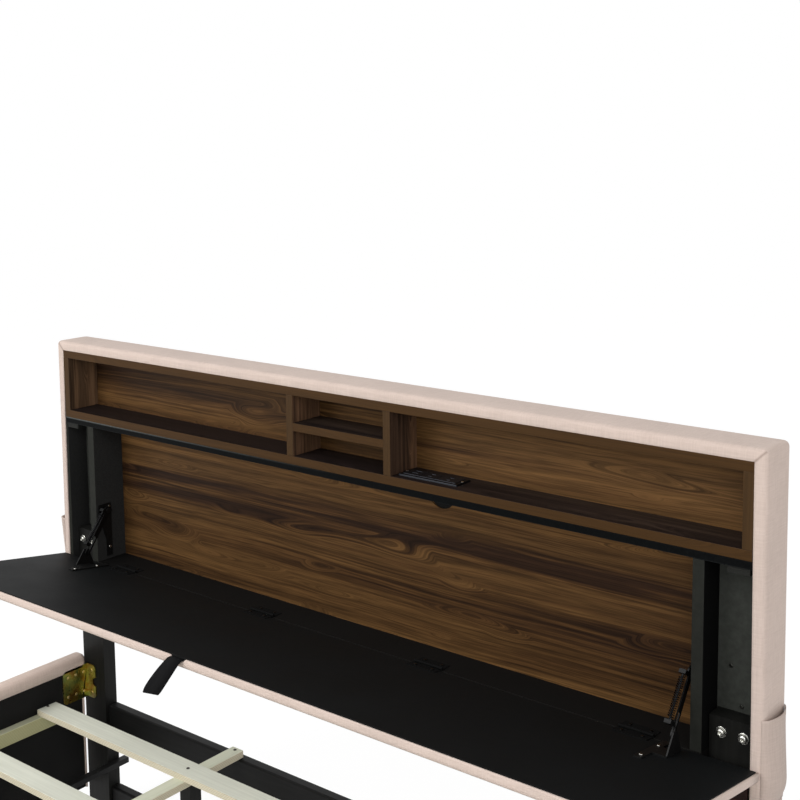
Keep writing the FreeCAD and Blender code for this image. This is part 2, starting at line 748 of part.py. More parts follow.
bend_over, sweep_over = strap_edge(strap_t / 2)
bend_under, sweep_under = strap_edge(-strap_t / 2)
end_turn = bend_turn + sweep_turn
strap_tip = (sweep_over[2] + sweep_under[2]) * 0.5
strap_tip = strap_tip + FreeCAD.Vector(0, -math.sin(end_turn), math.cos(end_turn)) * (strap_t / 2)
strap_side = Part.Face(Part.Wire([
    Part.Arc(*bend_over).toShape(), Part.Arc(*sweep_over).toShape(),
    Part.Arc(sweep_over[2], strap_tip, sweep_under[2]).toShape(),
    Part.Arc(*reversed(sweep_under)).toShape(), Part.Arc(*reversed(bend_under)).toShape(),
    Part.makeLine(bend_under[0], bend_over[0])]))
save("pull_strap", opened(strap_side.extrude(FreeCAD.Vector(strap_width, 0, 0))))

# Flap stays: a plate with a pivot on the inner board, a slotted arm with a spring on a guide rod, and
# a bracket on the flap whose pin follows the slot.
pivot_y = front_y + stay_pivot[0]
pivot_z = floor_top_z + stay_pivot[1]
reach_y = front_y + stay_reach[0]
reach_z = floor_top_z + stay_reach[1]
shut = Part.Vertex(0, reach_y, reach_z)
shut.rotate(FreeCAD.Vector(0, axis_y, axis_z), FreeCAD.Vector(1, 0, 0), -flap_open_angle)
shut_y = shut.Point.y
shut_z = shut.Point.z
arm_open = math.hypot(reach_y - pivot_y, reach_z - pivot_z)
arm_shut = math.hypot(shut_y - pivot_y, shut_z - pivot_z)
arm_turn = math.degrees(math.atan2(shut_y - pivot_y, pivot_z - shut_z)
                        - math.atan2(reach_y - pivot_y, pivot_z - reach_z))
print("stay arm turns", arm_turn, "degrees and slides", arm_open - arm_shut)
arm_u = ((reach_y - pivot_y) / arm_open, (reach_z - pivot_z) / arm_open)
arm_n = (arm_u[1], -arm_u[0])
plate_x = compartment_x - stay_plate_t
arm_x1 = plate_x - arm_from_plate
arm_x0 = arm_x1 - arm_t
rod_x = arm_x1 - seat_size / 2


def stay_point(x, along, across):
    """A point of the stay by its distance along the arm from the pivot and across towards the rod."""
    y = pivot_y + arm_u[0] * along + arm_n[0] * across
    z = pivot_z + arm_u[1] * along + arm_n[1] * across
    return FreeCAD.Vector(x, y, z)


def arm_block(along0, along1, across0, across1, x0, x1):
    corners = [stay_point(x0, along0, across0), stay_point(x0, along1, across0),
               stay_point(x0, along1, across1), stay_point(x0, along0, across1)]
    face = Part.Face(Part.makePolygon(corners + corners[:1]))
    return face.extrude(FreeCAD.Vector(x1 - x0, 0, 0))


def arm_round(along, across, radius, x0, x1):
    start = stay_point(x0, along, across)
    return Part.makeCylinder(radius, x1 - x0, start, FreeCAD.Vector(1, 0, 0))


def stay_base():
    outline = [(front_y + y, floor_top_z + z) for y, z in stay_plate]
    plate = prism_x(outline, plate_x, compartment_x)
    shoulder = arm_round(0, 0, stay_shoulder_r, arm_x1 + stay_side_gap, plate_x)
    pin = arm_round(0, 0, stay_pin_r, arm_x0 - stay_side_gap, plate_x)
    head = arm_round(0, 0, stay_pin_head_r, arm_x0 - stay_side_gap - stay_pin_head_t,
                     arm_x0 - stay_side_gap)
    return plate.fuse([shoulder, pin, head])


def stay_arm():
    slot_start = arm_shut - arm_slot_past
    slot_end = arm_open + arm_slot_past
    seat_low = rod_offset - seat_size / 2
    seat_high = rod_offset + seat_size / 2
    arm_middle = (arm_front - arm_back) / 2
    tip_r = (arm_front + arm_back) / 2
    arm = arm_block(0, slot_end, -arm_back, arm_front, arm_x0, arm_x1)
    arm = arm.fuse([arm_round(0, 0, arm_head_r, arm_x0, arm_x1),
                    arm_round(slot_end, arm_middle, tip_r, arm_x0, arm_x1)])
    for middle in (rod_start, rod_end):
        arm = arm.fuse([arm_block(middle - seat_t / 2, middle + seat_t / 2, 0, seat_high, arm_x0, arm_x1),
                        arm_block(middle - seat_t / 2, middle + seat_t / 2, seat_low, seat_high,
                                  arm_x1 - seat_size, arm_x1)])
    guide = Part.makeCylinder(rod_r, rod_end - rod_start, stay_point(rod_x, rod_start, rod_offset),
                              FreeCAD.Vector(0, arm_u[0], arm_u[1]))
    arm = arm.fuse(guide)
    slot = arm_block(slot_start, slot_end, -arm_slot_r, arm_slot_r, arm_x0, arm_x1)
    slot = slot.fuse([arm_round(slot_start, 0, arm_slot_r, arm_x0, arm_x1),
                      arm_round(slot_end, 0, arm_slot_r, arm_x0, arm_x1)])
    return arm.cut([slot, arm_round(0, 0, stay_pin_r + stay_play, arm_x0, arm_x1)])


def stay_spring():
    """An unbroken wound wire round the guide rod, its ends turned to meet their seats squarely."""
    axis = FreeCAD.Vector(0, arm_u[0], arm_u[1])
    first = FreeCAD.Vector(1, 0, 0)
    second = FreeCAD.Vector(0, arm_n[0], arm_n[1])
    straight = 2 * spring_wire_r
    low = rod_start + seat_t / 2 + spring_seat_gap
    high = rod_end - seat_t / 2 - spring_seat_gap
    start = low + straight + spring_lead
    rise = high - straight - spring_lead - start
    quarters = 4 * spring_turns

    def coil_point(angle, along):
        centre = stay_point(rod_x, along, rod_offset)
        return centre + first * (spring_r * math.cos(angle)) + second * (spring_r * math.sin(angle))

    def coil_dir(angle):
        per_turn = rise / spring_turns
        around = first * (-math.sin(angle)) + second * math.cos(angle)
        direction = around * (2 * math.pi * spring_r) + axis * per_turn
        return direction * (1 / direction.Length)

    lead = math.radians(spring_lead_angle)
    full = 2 * math.pi * spring_turns
    enter = coil_point(-lead, low + straight)
    leave = coil_point(full + lead, high - straight)
    edges = [Part.makeLine(coil_point(-lead, low), enter)]
    edges += biarc(enter, axis, coil_point(0, start), coil_dir(0))
    for number in range(quarters):
        a0 = math.pi / 2 * number
        a1 = math.pi / 2 * (number + 1)
        edges += biarc(coil_point(a0, start + rise * number / quarters), coil_dir(a0),
                       coil_point(a1, start + rise * (number + 1) / quarters), coil_dir(a1))
    edges += biarc(coil_point(full, high - straight - spring_lead), coil_dir(full), leave, axis)
    edges.append(Part.makeLine(leave, coil_point(full + lead, high)))
    path = Part.Wire(Part.__sortEdges__(edges))
    profile = Part.Wire(Part.makeCircle(spring_wire_r, coil_point(-lead, low), axis))
    shell = Part.BRepOffsetAPI.MakePipeShell(path)
    shell.add(profile)
    shell.build()
    shell.makeSolid()
    points = path.discretize(Distance=spring_wire_r / 2)
    apart = int(math.pi * spring_r / (spring_wire_r / 2))
    least = min((points[i] - points[j]).Length for i in range(len(points))
                for j in range(i + apart, min(i + 4 * apart, len(points))))
    print("spring's least gap to itself", least - 2 * spring_wire_r)
    return shell.shape()


def flap_bracket():
    """Drawn on the shut flap: a foot on the liner and an ear whose pin stops short of the arm."""
    pin_start = arm_x1 + stay_side_gap
    ear_x0 = pin_start + ear_t / 2
    ear_x1 = ear_x0 + ear_t
    foot_low = flap_low_z + foot_start
    foot_x0 = ear_x1 - foot_width
    ear = prism_x([(flap_inner_y, shut_z - ear_half), (flap_inner_y, shut_z + ear_half),
                   (shut_y + ear_past_pin, shut_z + ear_tip_half),
                   (shut_y + ear_past_pin, shut_z - ear_tip_half)], ear_x0, ear_x1)
    cross_low = foot_low + foot_cross_rise
    foot = box(foot_x0, foot_x0 + foot_narrow, flap_inner_y, flap_inner_y + foot_t, foot_low,
               foot_low + foot_length)
    cross = box(foot_x0, ear_x1, flap_inner_y, flap_inner_y + foot_t, cross_low,
                cross_low + foot_cross_length)
    pin = rod((pin_start, shut_y, shut_z), (1, 0, 0), ear_x0 - pin_start, stay_pin_r)
    screws = [screw(foot_x0 + foot_narrow / 2, flap_inner_y + foot_t, foot_low + rise, (0, -1, 0))
              for rise in foot_screws]
    return ear.fuse([foot, cross, pin]), screws


save("stay_bases", both_sides(stay_base()))
arm = stay_arm()
save("stay_arm_left", mirrored(arm))
save("stay_arm_right", arm)
spring = stay_spring()
save("stay_spring_left", mirrored(spring))
save("stay_spring_right", spring)
bracket, bracket_screws = flap_bracket()
save("stay_brackets", [opened(piece) for piece in both_sides(bracket)])
for head in bracket_screws:
    flap_screws += [opened(piece) for piece in both_sides(head)]
save("flap_screws", flap_screws)

# Screws in the stiles, the stays' plates and the corner brackets.
for from_side, rise in stile_screws:
    cabinet_screws += both_sides(screw(inner_x - from_side, post_back_y, shell_bottom_z + rise, (0, 1, 0)))
for y, z in stay_plate_screws:
    cabinet_screws += both_sides(screw(plate_x, front_y + y, floor_top_z + z, (1, 0, 0)))
save("cabinet_screws", cabinet_screws)

frame_screws = []
short_leaf_x = bracket_x - bracket_screw_in
for face_y, direction in ((front_y + post_front_y, -1), (foot_inner_y, 1)):
    for up in (-1, 1):
        for along in bracket_screw_along:
            head = screw(bracket_x, face_y + direction * along, bracket_mid_z + up * bracket_screw_up,
                         (1, 0, 0))
            frame_screws += both_sides(head)
        head = screw(short_leaf_x, face_y + direction * bracket_t,
                     bracket_mid_z + up * bracket_screw_apart, (0, -direction, 0))
        frame_screws += both_sides(head)
save("bracket_screws", frame_screws)
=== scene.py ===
import math
import bmesh
import bpy
from mathutils import Matrix, Vector


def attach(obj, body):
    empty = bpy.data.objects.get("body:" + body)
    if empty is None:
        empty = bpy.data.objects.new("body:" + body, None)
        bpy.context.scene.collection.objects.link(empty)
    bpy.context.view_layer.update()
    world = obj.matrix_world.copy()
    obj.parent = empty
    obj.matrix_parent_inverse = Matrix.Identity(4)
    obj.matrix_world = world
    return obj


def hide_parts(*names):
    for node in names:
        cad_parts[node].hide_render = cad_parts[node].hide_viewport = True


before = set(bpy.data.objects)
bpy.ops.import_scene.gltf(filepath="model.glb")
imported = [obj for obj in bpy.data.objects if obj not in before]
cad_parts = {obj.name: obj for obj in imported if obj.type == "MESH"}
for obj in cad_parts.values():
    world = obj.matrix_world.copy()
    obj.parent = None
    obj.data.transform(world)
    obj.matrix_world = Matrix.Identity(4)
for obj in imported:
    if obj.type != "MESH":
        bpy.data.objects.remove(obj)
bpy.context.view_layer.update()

# The camera stands at the right of the foot end, a little above the headboard, and looks across the
# open flap. The picture is a wide crop below its axis, so the lens is shifted down.
camera_data = bpy.data.cameras.new("camera")
camera_data.sensor_width = 36.0
camera_data.lens = 58.003
camera_data.shift_y = -0.15
camera_data.clip_end = 50.0
CAMERA_PLACE = (1.4946, -0.6785, 1.52695)
yaw, pitch, roll = -0.674316, 0.120820, -0.0111006
forward = Vector((math.sin(yaw) * math.cos(pitch), math.cos(yaw) * math.cos(pitch), -math.sin(pitch)))
right = Vector((math.cos(yaw), -math.sin(yaw), 0.0))
up = right.cross(forward)
rolled_right = math.cos(roll) * right + math.sin(roll) * up
rolled_up = -math.sin(roll) * right + math.cos(roll) * up
camera = bpy.data.objects.new("camera", camera_data)
turn = Matrix((rolled_right, rolled_up, -forward)).transposed()
camera.matrix_world = Matrix.Translation(CAMERA_PLACE) @ turn.to_4x4()
bpy.context.scene.collection.objects.link(camera)
bpy.context.scene.camera = camera
bpy.context.scene.view_settings.view_transform = "Standard"

# A white studio: an even surround, a soft key from the front left, a fill from the camera's side and a
# small low lamp for the frame below the flap. The surround shows as plain white behind the bed and in
# bright metal.


def new_node(owner, kind):
    """A new node in the tree of a material or a world."""
    return owner.node_tree.nodes.new("ShaderNode" + kind)


def join(owner, source, target):
    owner.node_tree.links.new(source, target)


def calc(owner, kind, first, second=0.0):
    """One step of arithmetic on two numbers or sockets."""
    step = new_node(owner, "Math")
    step.operation = kind
    for place, value in ((0, first), (1, second)):
        if isinstance(value, (int, float)):
            step.inputs[place].default_value = value
        else:
            join(owner, value, step.inputs[place])
    return step.outputs[0]


def seen_or_mirrored(owner):
    """One for what the camera sees straight, in a reflection or through glass."""
    ray = new_node(owner, "LightPath")
    mirrored = calc(owner, "MAXIMUM", ray.outputs["Is Glossy Ray"], ray.outputs["Is Transmission Ray"])
    return calc(owner, "MAXIMUM", ray.outputs["Is Camera Ray"], mirrored)


world = bpy.data.worlds.new("studio")
bpy.context.scene.world = world
world.use_nodes = True
world.node_tree.nodes.clear()
sky_out = new_node(world, "OutputWorld")
white = new_node(world, "Background")
white.inputs["Color"].default_value = (1.0, 1.0, 1.0, 1.0)
white.inputs["Strength"].default_value = 1.0
room = new_node(world, "Background")
room.inputs["Color"].default_value = (1.0, 0.99, 0.98, 1.0)
room.inputs["Strength"].default_value = 0.55
pick = new_node(world, "MixShader")
join(world, seen_or_mirrored(world), pick.inputs["Fac"])
join(world, room.outputs[0], pick.inputs[1])
join(world, white.outputs[0], pick.inputs[2])
join(world, pick.outputs[0], sky_out.inputs["Surface"])


def soft_lamp(name, place, aim, size, watts):
    """A square soft box hung at place and turned towards aim."""
    data = bpy.data.lights.new(name, "AREA")
    data.shape = "SQUARE"
    data.size = size
    data.energy = watts
    lamp = bpy.data.objects.new(name, data)
    lamp.location = place
    lamp.rotation_euler = (Vector(aim) - Vector(place)).to_track_quat("-Z", "Y").to_euler()
    bpy.context.scene.collection.objects.link(lamp)


soft_lamp("key", (-1.2, -2.3, 3.6), (0.0, 0.6, 0.7), 2.2, 98.0)
soft_lamp("fill", (3.2, -1.6, 2.4), (0.2, 0.9, 0.8), 2.6, 55.0)
soft_lamp("low", (-1.0, -0.5, 1.3), (-0.6, 0.6, 0.3), 0.7, 4.2)

# The studio floor: a wide level sheet, pale and matt. It is white to the eye, so that it meets the
# surround without a line, and keeps a faint shadow under the bed.
FLOOR_REACH, FLOOR_TONE, FLOOR_GLOW, GLOW_SHARE = 12.0, 0.86, 1.08, 0.86


def new_finish(name):
    finish = bpy.data.materials.new(name)
    finish.use_nodes = True
    return finish


def shader_of(material):
    return material.node_tree.nodes["Principled BSDF"]


floor_mesh = bpy.data.meshes.new("floor")
build = bmesh.new()
bmesh.ops.create_grid(build, x_segments=1, y_segments=1, size=FLOOR_REACH)
build.to_mesh(floor_mesh)
build.free()
floor = bpy.data.objects.new("floor", floor_mesh)
bpy.context.scene.collection.objects.link(floor)
floor_paint = new_finish("pale_floor")
shader_of(floor_paint).inputs["Base Color"].default_value = (FLOOR_TONE, FLOOR_TONE, FLOOR_TONE, 1.0)
shader_of(floor_paint).inputs["Roughness"].default_value = 0.9
floor_white = new_node(floor_paint, "Emission")
floor_white.inputs["Strength"].default_value = FLOOR_GLOW
floor_pick = new_node(floor_paint, "MixShader")
glow = calc(floor_paint, "MULTIPLY", seen_or_mirrored(floor_paint), GLOW_SHARE)
join(floor_paint, glow, floor_pick.inputs["Fac"])
join(floor_paint, shader_of(floor_paint).outputs[0], floor_pick.inputs[1])
join(floor_paint, floor_white.outputs[0], floor_pick.inputs[2])
join(floor_paint, floor_pick.outputs[0], floor_paint.node_tree.nodes["Material Output"].inputs["Surface"])
floor.data.materials.append(floor_paint)

# Posts, foot posts, cross rails and support legs: solid timber sprayed satin black. The paint is a
# little uneven over the grain, and the arrises are eased by sanding, except on the two head posts.


def object_place(material, scale=(1.0, 1.0, 1.0), shift=(0.0, 0.0, 0.0)):
    """Object coordinates stretched by scale, for a pattern that has a direction."""
    where = new_node(material, "TexCoord")
    fit = new_node(material, "Mapping")
    fit.inputs["Scale"].default_value = scale
    fit.inputs["Location"].default_value = shift
    join(material, where.outputs["Object"], fit.inputs["Vector"])
    return fit.outputs["Vector"]


def noise(material, vector, scale, detail=4.0, rough=0.55, bend=0.0):
    cloud = new_node(material, "TexNoise")
    for name, value in (("Scale", scale), ("Detail", detail), ("Roughness", rough), ("Distortion", bend)):
        cloud.inputs[name].default_value = value
    join(material, vector, cloud.inputs["Vector"])
    return cloud.outputs["Fac"]


def ramp(material, value, stops):
    """A colour ramp; each stop is (position, (r, g, b))."""
    band = new_node(material, "ValToRGB")
    stripe = band.color_ramp
    stripe.elements[0].position = stops[0][0]
    stripe.elements[0].color = (*stops[0][1], 1.0)
    stripe.elements[1].position = stops[-1][0]
    stripe.elements[1].color = (*stops[-1][1], 1.0)
    for position, colour in stops[1:-1]:
        stripe.elements.new(position).color = (*colour, 1.0)
    join(material, value, band.inputs["Fac"])
    return band.outputs["Color"]


def grey_ramp(material, value, low, high, dark=0.0, bright=1.0):
    return ramp(material, value, [(low, (dark, dark, dark)), (high, (bright, bright, bright))])


def mixed(material, kind, fac, first, second):
    """Two colours mixed; fac is a number or a socket."""
    blend = new_node(material, "Mix")
    blend.data_type = "RGBA"
    blend.blend_type = kind
    if isinstance(fac, float):
        blend.inputs["Factor"].default_value = fac
    else:
        join(material, fac, blend.inputs["Factor"])
    join(material, first, blend.inputs["A"])
    join(material, second, blend.inputs["B"])
    return blend.outputs["Result"]


def bumped(material, height, depth, strength=1.0, under=None):
    bump = new_node(material, "Bump")
    bump.inputs["Distance"].default_value = depth
    bump.inputs["Strength"].default_value = strength
    join(material, height, bump.inputs["Height"])
    if under is not None:
        join(material, under, bump.inputs["Normal"])
    return bump.outputs["Normal"]


def surface(material, colour, gloss, shine=None, metal=None, relief=None):
    """Joins what a finish is made of to its shader; a plain number is set there instead."""
    inputs = shader_of(material).inputs
    for name, value in (("Base Color", colour), ("Roughness", gloss), ("Specular IOR Level", shine),
                        ("Metallic", metal), ("Normal", relief)):
        if isinstance(value, float):
            inputs[name].default_value = value
        elif value is not None:
            join(material, value, inputs[name])
    return material


def black_paint(name, along, dark, light, gloss):
    """Black sprayed timber whose faint grain runs along the given axis."""
    finish = new_finish(name)
    stretch = [38.0, 38.0, 38.0]
    stretch["xyz".index(along)] = 2.2
    grain = noise(finish, object_place(finish, stretch), 4.0, 6.0, 0.6, 0.3)
    mottle = noise(finish, object_place(finish, (9.0, 9.0, 9.0)), 1.0, 3.0, 0.5)
    colour = ramp(finish, grain, [(0.3, dark), (0.72, light)])
    cloudy = grey_ramp(finish, mottle, 0.3, 0.75, 0.78, 1.0)
    uneven = grey_ramp(finish, mottle, 0.25, 0.8, gloss, gloss + 0.14)
    return surface(finish, mixed(finish, "MULTIPLY", 1.0, colour, cloudy), uneven, 0.14,
                   relief=bumped(finish, grain, 0.0002, 0.35))


def dress(names, finish, ease=0.0):
    """Gives CAD nodes their finish, and eases their sharp arrises by that width."""
    for name in names:
        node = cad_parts[name]
        if not node.material_slots:
            node.data.materials.append(finish)
        for place in node.material_slots:
            place.material = finish
        if ease:
            weld = node.modifiers.new("weld", "WELD")
            weld.merge_threshold = 0.00002
            bevel = node.modifiers.new("ease", "BEVEL")
            bevel.width = ease
            bevel.segments = 2
            bevel.limit_method = "ANGLE"
            bevel.angle_limit = math.radians(40.0)


post_paint = black_paint("post_black", "z", (0.006, 0.006, 0.0055), (0.014, 0.014, 0.0125), 0.46)
dress(["post_left", "post_right"], post_paint)
dress(["foot_posts", "support_legs"], post_paint, 0.0022)
beam_paint = black_paint("beam_black", "x", (0.004, 0.004, 0.004), (0.010, 0.010, 0.0095), 0.46)
dress(["upper_cross_rails", "lower_cross_rails"], beam_paint, 0.004)

# Runner bars: steel bar, powder coated black with a fine orange peel. One runs low along each side,
# against the inner faces of the head post and the foot post.


def powder_coat(name, dark, light, gloss, shine=0.2):
    """Powder coated steel: a fine orange peel over a flat black."""
    finish = new_finish(name)
    peel = noise(finish, object_place(finish), 900.0, 2.0, 0.5)
    return surface(finish, ramp(finish, peel, [(0.3, dark), (0.7, light)]), gloss, shine,
                   relief=bumped(finish, peel, 0.0001, 0.5))


dress(["runners"], powder_coat("runner_coat", (0.004, 0.004, 0.004), (0.009, 0.009, 0.009), 0.5), 0.001)

# Glides: small moulded feet of black plastic, fixed under every post and leg and scuffed grey by the
# floor.


def speckled(name, fineness, cloud, dark, light, gloss, metal=None):
    """Plastic or metal speckled between two stops of a ramp; cloud gives the noise's own values."""
    finish = new_finish(name)
    speck = noise(finish, object_place(finish, (fineness, fineness, fineness)), *cloud)
    return surface(finish, ramp(finish, speck, [dark, light]), gloss, metal=metal)


dress(["glides"], speckled("glide_plastic", 60.0, (3.0, 5.0, 0.6), (0.35, (0.012, 0.012, 0.012)),
                           (0.75, (0.035, 0.034, 0.033)), 0.6))

# Slats, supports and cleats: bare poplar plywood, pale with a grey-green cast, planed on the faces.
# The edges show the thin brown glue lines between the plies and a warmer tone.


def facing(material, axis):
    """The size of the surface normal along an axis."""
    shape = new_node(material, "NewGeometry")
    parts = new_node(material, "SeparateXYZ")
    join(material, shape.outputs["Normal"], parts.inputs[0])
    return calc(material, "ABSOLUTE", parts.outputs[axis])


def wave(material, vector, direction, scale, bend, fine=1.0):
    """Bands across a direction, bent a little; fine is the scale of the bending."""
    bands = new_node(material, "TexWave")
    bands.bands_direction = direction
    for name, value in (("Scale", scale), ("Distortion", bend), ("Detail", 2.0), ("Detail Scale", fine)):
        bands.inputs[name].default_value = value
    join(material, vector, bands.inputs["Vector"])
    return bands.outputs["Fac"]


def plywood(name, along, face_low, face_high, painted_edge_shade=(1.0, 1.0, 1.0)):
    """Pale plywood whose grain runs along the given axis and whose plies lie flat."""
    finish = new_finish(name)
    stretch = [55.0, 55.0, 55.0]
    stretch["xyz".index(along)] = 1.6
    grain = noise(finish, object_place(finish, stretch), 3.0, 6.0, 0.62, 0.25)
    patch = noise(finish, object_place(finish, (5.0, 5.0, 5.0)), 1.0, 3.0, 0.5)
    face = ramp(finish, grain, [(0.28, face_low), (0.7, face_high)])
    face = mixed(finish, "MULTIPLY", 0.6, face, grey_ramp(finish, patch, 0.3, 0.7, 0.84, 1.0))
    plies = wave(finish, object_place(finish), "Z", 105.0, 0.6)
    ply_colours = ((0.05, (0.45, 0.37, 0.22)), (0.25, (0.66, 0.61, 0.46)), (0.9, (0.74, 0.70, 0.56)))
    # painted_edge_shade darkens the edges' ply colours; only the cleats use it, as painted shade.
    shaded_ply_colours = [(stop, [part * share for part, share in zip(colour, painted_edge_shade)]) for stop, colour in ply_colours]
    edge = ramp(finish, plies, shaded_ply_colours)
    is_face = grey_ramp(finish, facing(finish, "Z"), 0.55, 0.8)
    return surface(finish, mixed(finish, "MIX", is_face, edge, face), 0.66, 0.3,
                   relief=bumped(finish, grain, 0.0002, 0.4))


dress(["slats"], plywood("slat_plywood", "x", (0.66, 0.685, 0.59), (0.79, 0.82, 0.715)), 0.0012)
dress(["supports"], plywood("support_plywood", "y", (0.61, 0.64, 0.495), (0.75, 0.775, 0.63)), 0.001)
# The cleats lie in the shade under the slats, so their copy is darker and yellower on faces and edges:
# painted shade.
dress(["cleats"], plywood("cleat_plywood_painted_shade", "y", (0.42, 0.43, 0.30), (0.52, 0.53, 0.39),
                          (0.64, 0.68, 0.50)), 0.001)

# Slat screws: countersunk steel screws, phosphated black and a little dusty, driven down through the
# slats into the wood that carries them.
dress(["slat_screws"], speckled("screw_black", 400.0, (1.0, 3.0, 0.5), (0.3, (0.015, 0.013, 0.011)),
                                (0.75, (0.06, 0.05, 0.04)), 0.5, 0.6))

# Corner brackets and their screws: pressed steel plate, zinc plated and yellow passivated, so the
# colour drifts between gold, green and red where the film changes thickness.
zinc_plate = new_finish("yellow_zinc")
film = noise(zinc_plate, object_place(zinc_plate, (30.0, 30.0, 30.0)), 1.0, 3.0, 0.55, 0.8)
tint = ramp(zinc_plate, film, [(0.30, (0.15, 0.06, 0.016)), (0.40, (0.23, 0.15, 0.025)),
                               (0.50, (0.20, 0.19, 0.038)), (0.60, (0.14, 0.17, 0.043)),
                               (0.72, (0.25, 0.13, 0.034))])
# The leaf that lies on the post, facing along the bed, is mixed to a paler, less golden tint: a painted
# highlight.
highlight_tint = ramp(zinc_plate, film, [(0.30, (0.62, 0.40, 0.16)), (0.50, (0.84, 0.76, 0.34)),
                                    (0.70, (0.60, 0.66, 0.30))])
highlight_on_post = grey_ramp(zinc_plate, facing(zinc_plate, "Y"), 0.3, 0.9)
brushed = noise(zinc_plate, object_place(zinc_plate, (300.0, 300.0, 300.0)), 1.0, 3.0, 0.5)
surface(zinc_plate, mixed(zinc_plate, "MIX", highlight_on_post, tint, highlight_tint),
        grey_ramp(zinc_plate, brushed, 0.3, 0.7, 0.24, 0.4), metal=1.0)
dress(["corner_brackets"], zinc_plate, 0.0006)
dress(["bracket_screws"], speckled("screw_zinc", 260.0, (1.0, 2.0, 0.5), (0.3, (0.42, 0.30, 0.10)),
                                   (0.7, (0.62, 0.52, 0.26)), 0.3, 1.0))

# Rail linings: black non-woven felt, cut to the rails' inner faces, stretched over them and stapled
# flat, with the upper edge against the cover's return.
HALF_WIDTH, RAIL_INNER_X, RAIL_TOP, RAIL_BOTTOM, RAIL_RETURN = 0.800, 0.770, 0.360, 0.060, 0.340
FOOT_Y, FOOT_INNER_Y, RAIL_HEAD_Y = -1.085, -1.055, 1.011
FELT_T, FELT_ROUND = 0.003, 0.0008


def felt(name, dark, light):
    """Black non-woven felt: short crossed fibres pressed flat, with a dotted bond."""
    finish = new_finish(name)
    fibre = noise(finish, object_place(finish), 700.0, 6.0, 0.7, 1.2)
    blotch = noise(finish, object_place(finish, (12.0, 12.0, 12.0)), 1.0, 4.0, 0.55)
    colour = ramp(finish, fibre, [(0.3, dark), (0.7, light)])
    colour = mixed(finish, "MULTIPLY", 1.0, colour, grey_ramp(finish, blotch, 0.3, 0.7, 0.75, 1.0))
    shader_of(finish).inputs["Sheen Weight"].default_value = 0.03
    return surface(finish, colour, 0.85, 0.15, relief=bumped(finish, fibre, 0.0004, 0.6))


def new_piece(name, mesh_build, finish, body, smooth=True):
    """Makes the built mesh a piece of the object that rides on a body."""
    bmesh.ops.recalc_face_normals(mesh_build, faces=mesh_build.faces)
    mesh = bpy.data.meshes.new(name)
    for face in mesh_build.faces:
        face.smooth = smooth
    mesh_build.to_mesh(mesh)
    mesh_build.free()
    piece = bpy.data.objects.new(name, mesh)
    bpy.context.scene.collection.objects.link(piece)
    piece.data.materials.append(finish)
    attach(piece, body)
    return piece


def block(low, high):
    """A box between two corners."""
    build = bmesh.new()
    middle = (Vector(low) + Vector(high)) / 2
    size = Vector(high) - Vector(low)
    bmesh.ops.create_cube(build, size=1.0, matrix=Matrix.Translation(middle) @ Matrix.Diagonal((*size, 1.0)))
    return build


def cut_at(build, axis, *places):
    """Splits the faces along level planes across an axis and keeps both sides."""
    for place in places:
        point = [0.0, 0.0, 0.0]
        normal = [0.0, 0.0, 0.0]
        point["xyz".index(axis)] = place
        normal["xyz".index(axis)] = 1.0
        everything = build.verts[:] + build.edges[:] + build.faces[:]
        bmesh.ops.bisect_plane(build, geom=everything, plane_co=point, plane_no=normal, dist=1e-6)


rail_felt = felt("rail_felt", (0.004, 0.004, 0.004), (0.011, 0.011, 0.0105))
for name, low, high in (
        ("rail_lining_left", (-RAIL_INNER_X - FELT_T, FOOT_INNER_Y, RAIL_BOTTOM),
         (-RAIL_INNER_X, RAIL_HEAD_Y - FELT_T, RAIL_RETURN)),
        ("rail_lining_right", (RAIL_INNER_X, FOOT_INNER_Y, RAIL_BOTTOM),
         (RAIL_INNER_X + FELT_T, RAIL_HEAD_Y - FELT_T, RAIL_RETURN)),
        ("rail_lining_foot", (-RAIL_INNER_X, FOOT_INNER_Y - FELT_T, RAIL_BOTTOM),
         (RAIL_INNER_X, FOOT_INNER_Y, RAIL_RETURN))):
    lining = block(low, high)
    bmesh.ops.bevel(lining, geom=lining.edges[:], offset=FELT_ROUND, segments=2, profile=0.5,
                    affect="EDGES", material=-1)
    piece = new_piece(name, lining, rail_felt, "bed", smooth=False)
    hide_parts("rail_linings")

# Side rails and foot rail: boards wrapped in blush linen over thin foam. The cloth is drawn over the
# outside, the top and the inner upper edge, where it is stapled under the lining; the head ends of the
# side rails swell a little over the board's end.


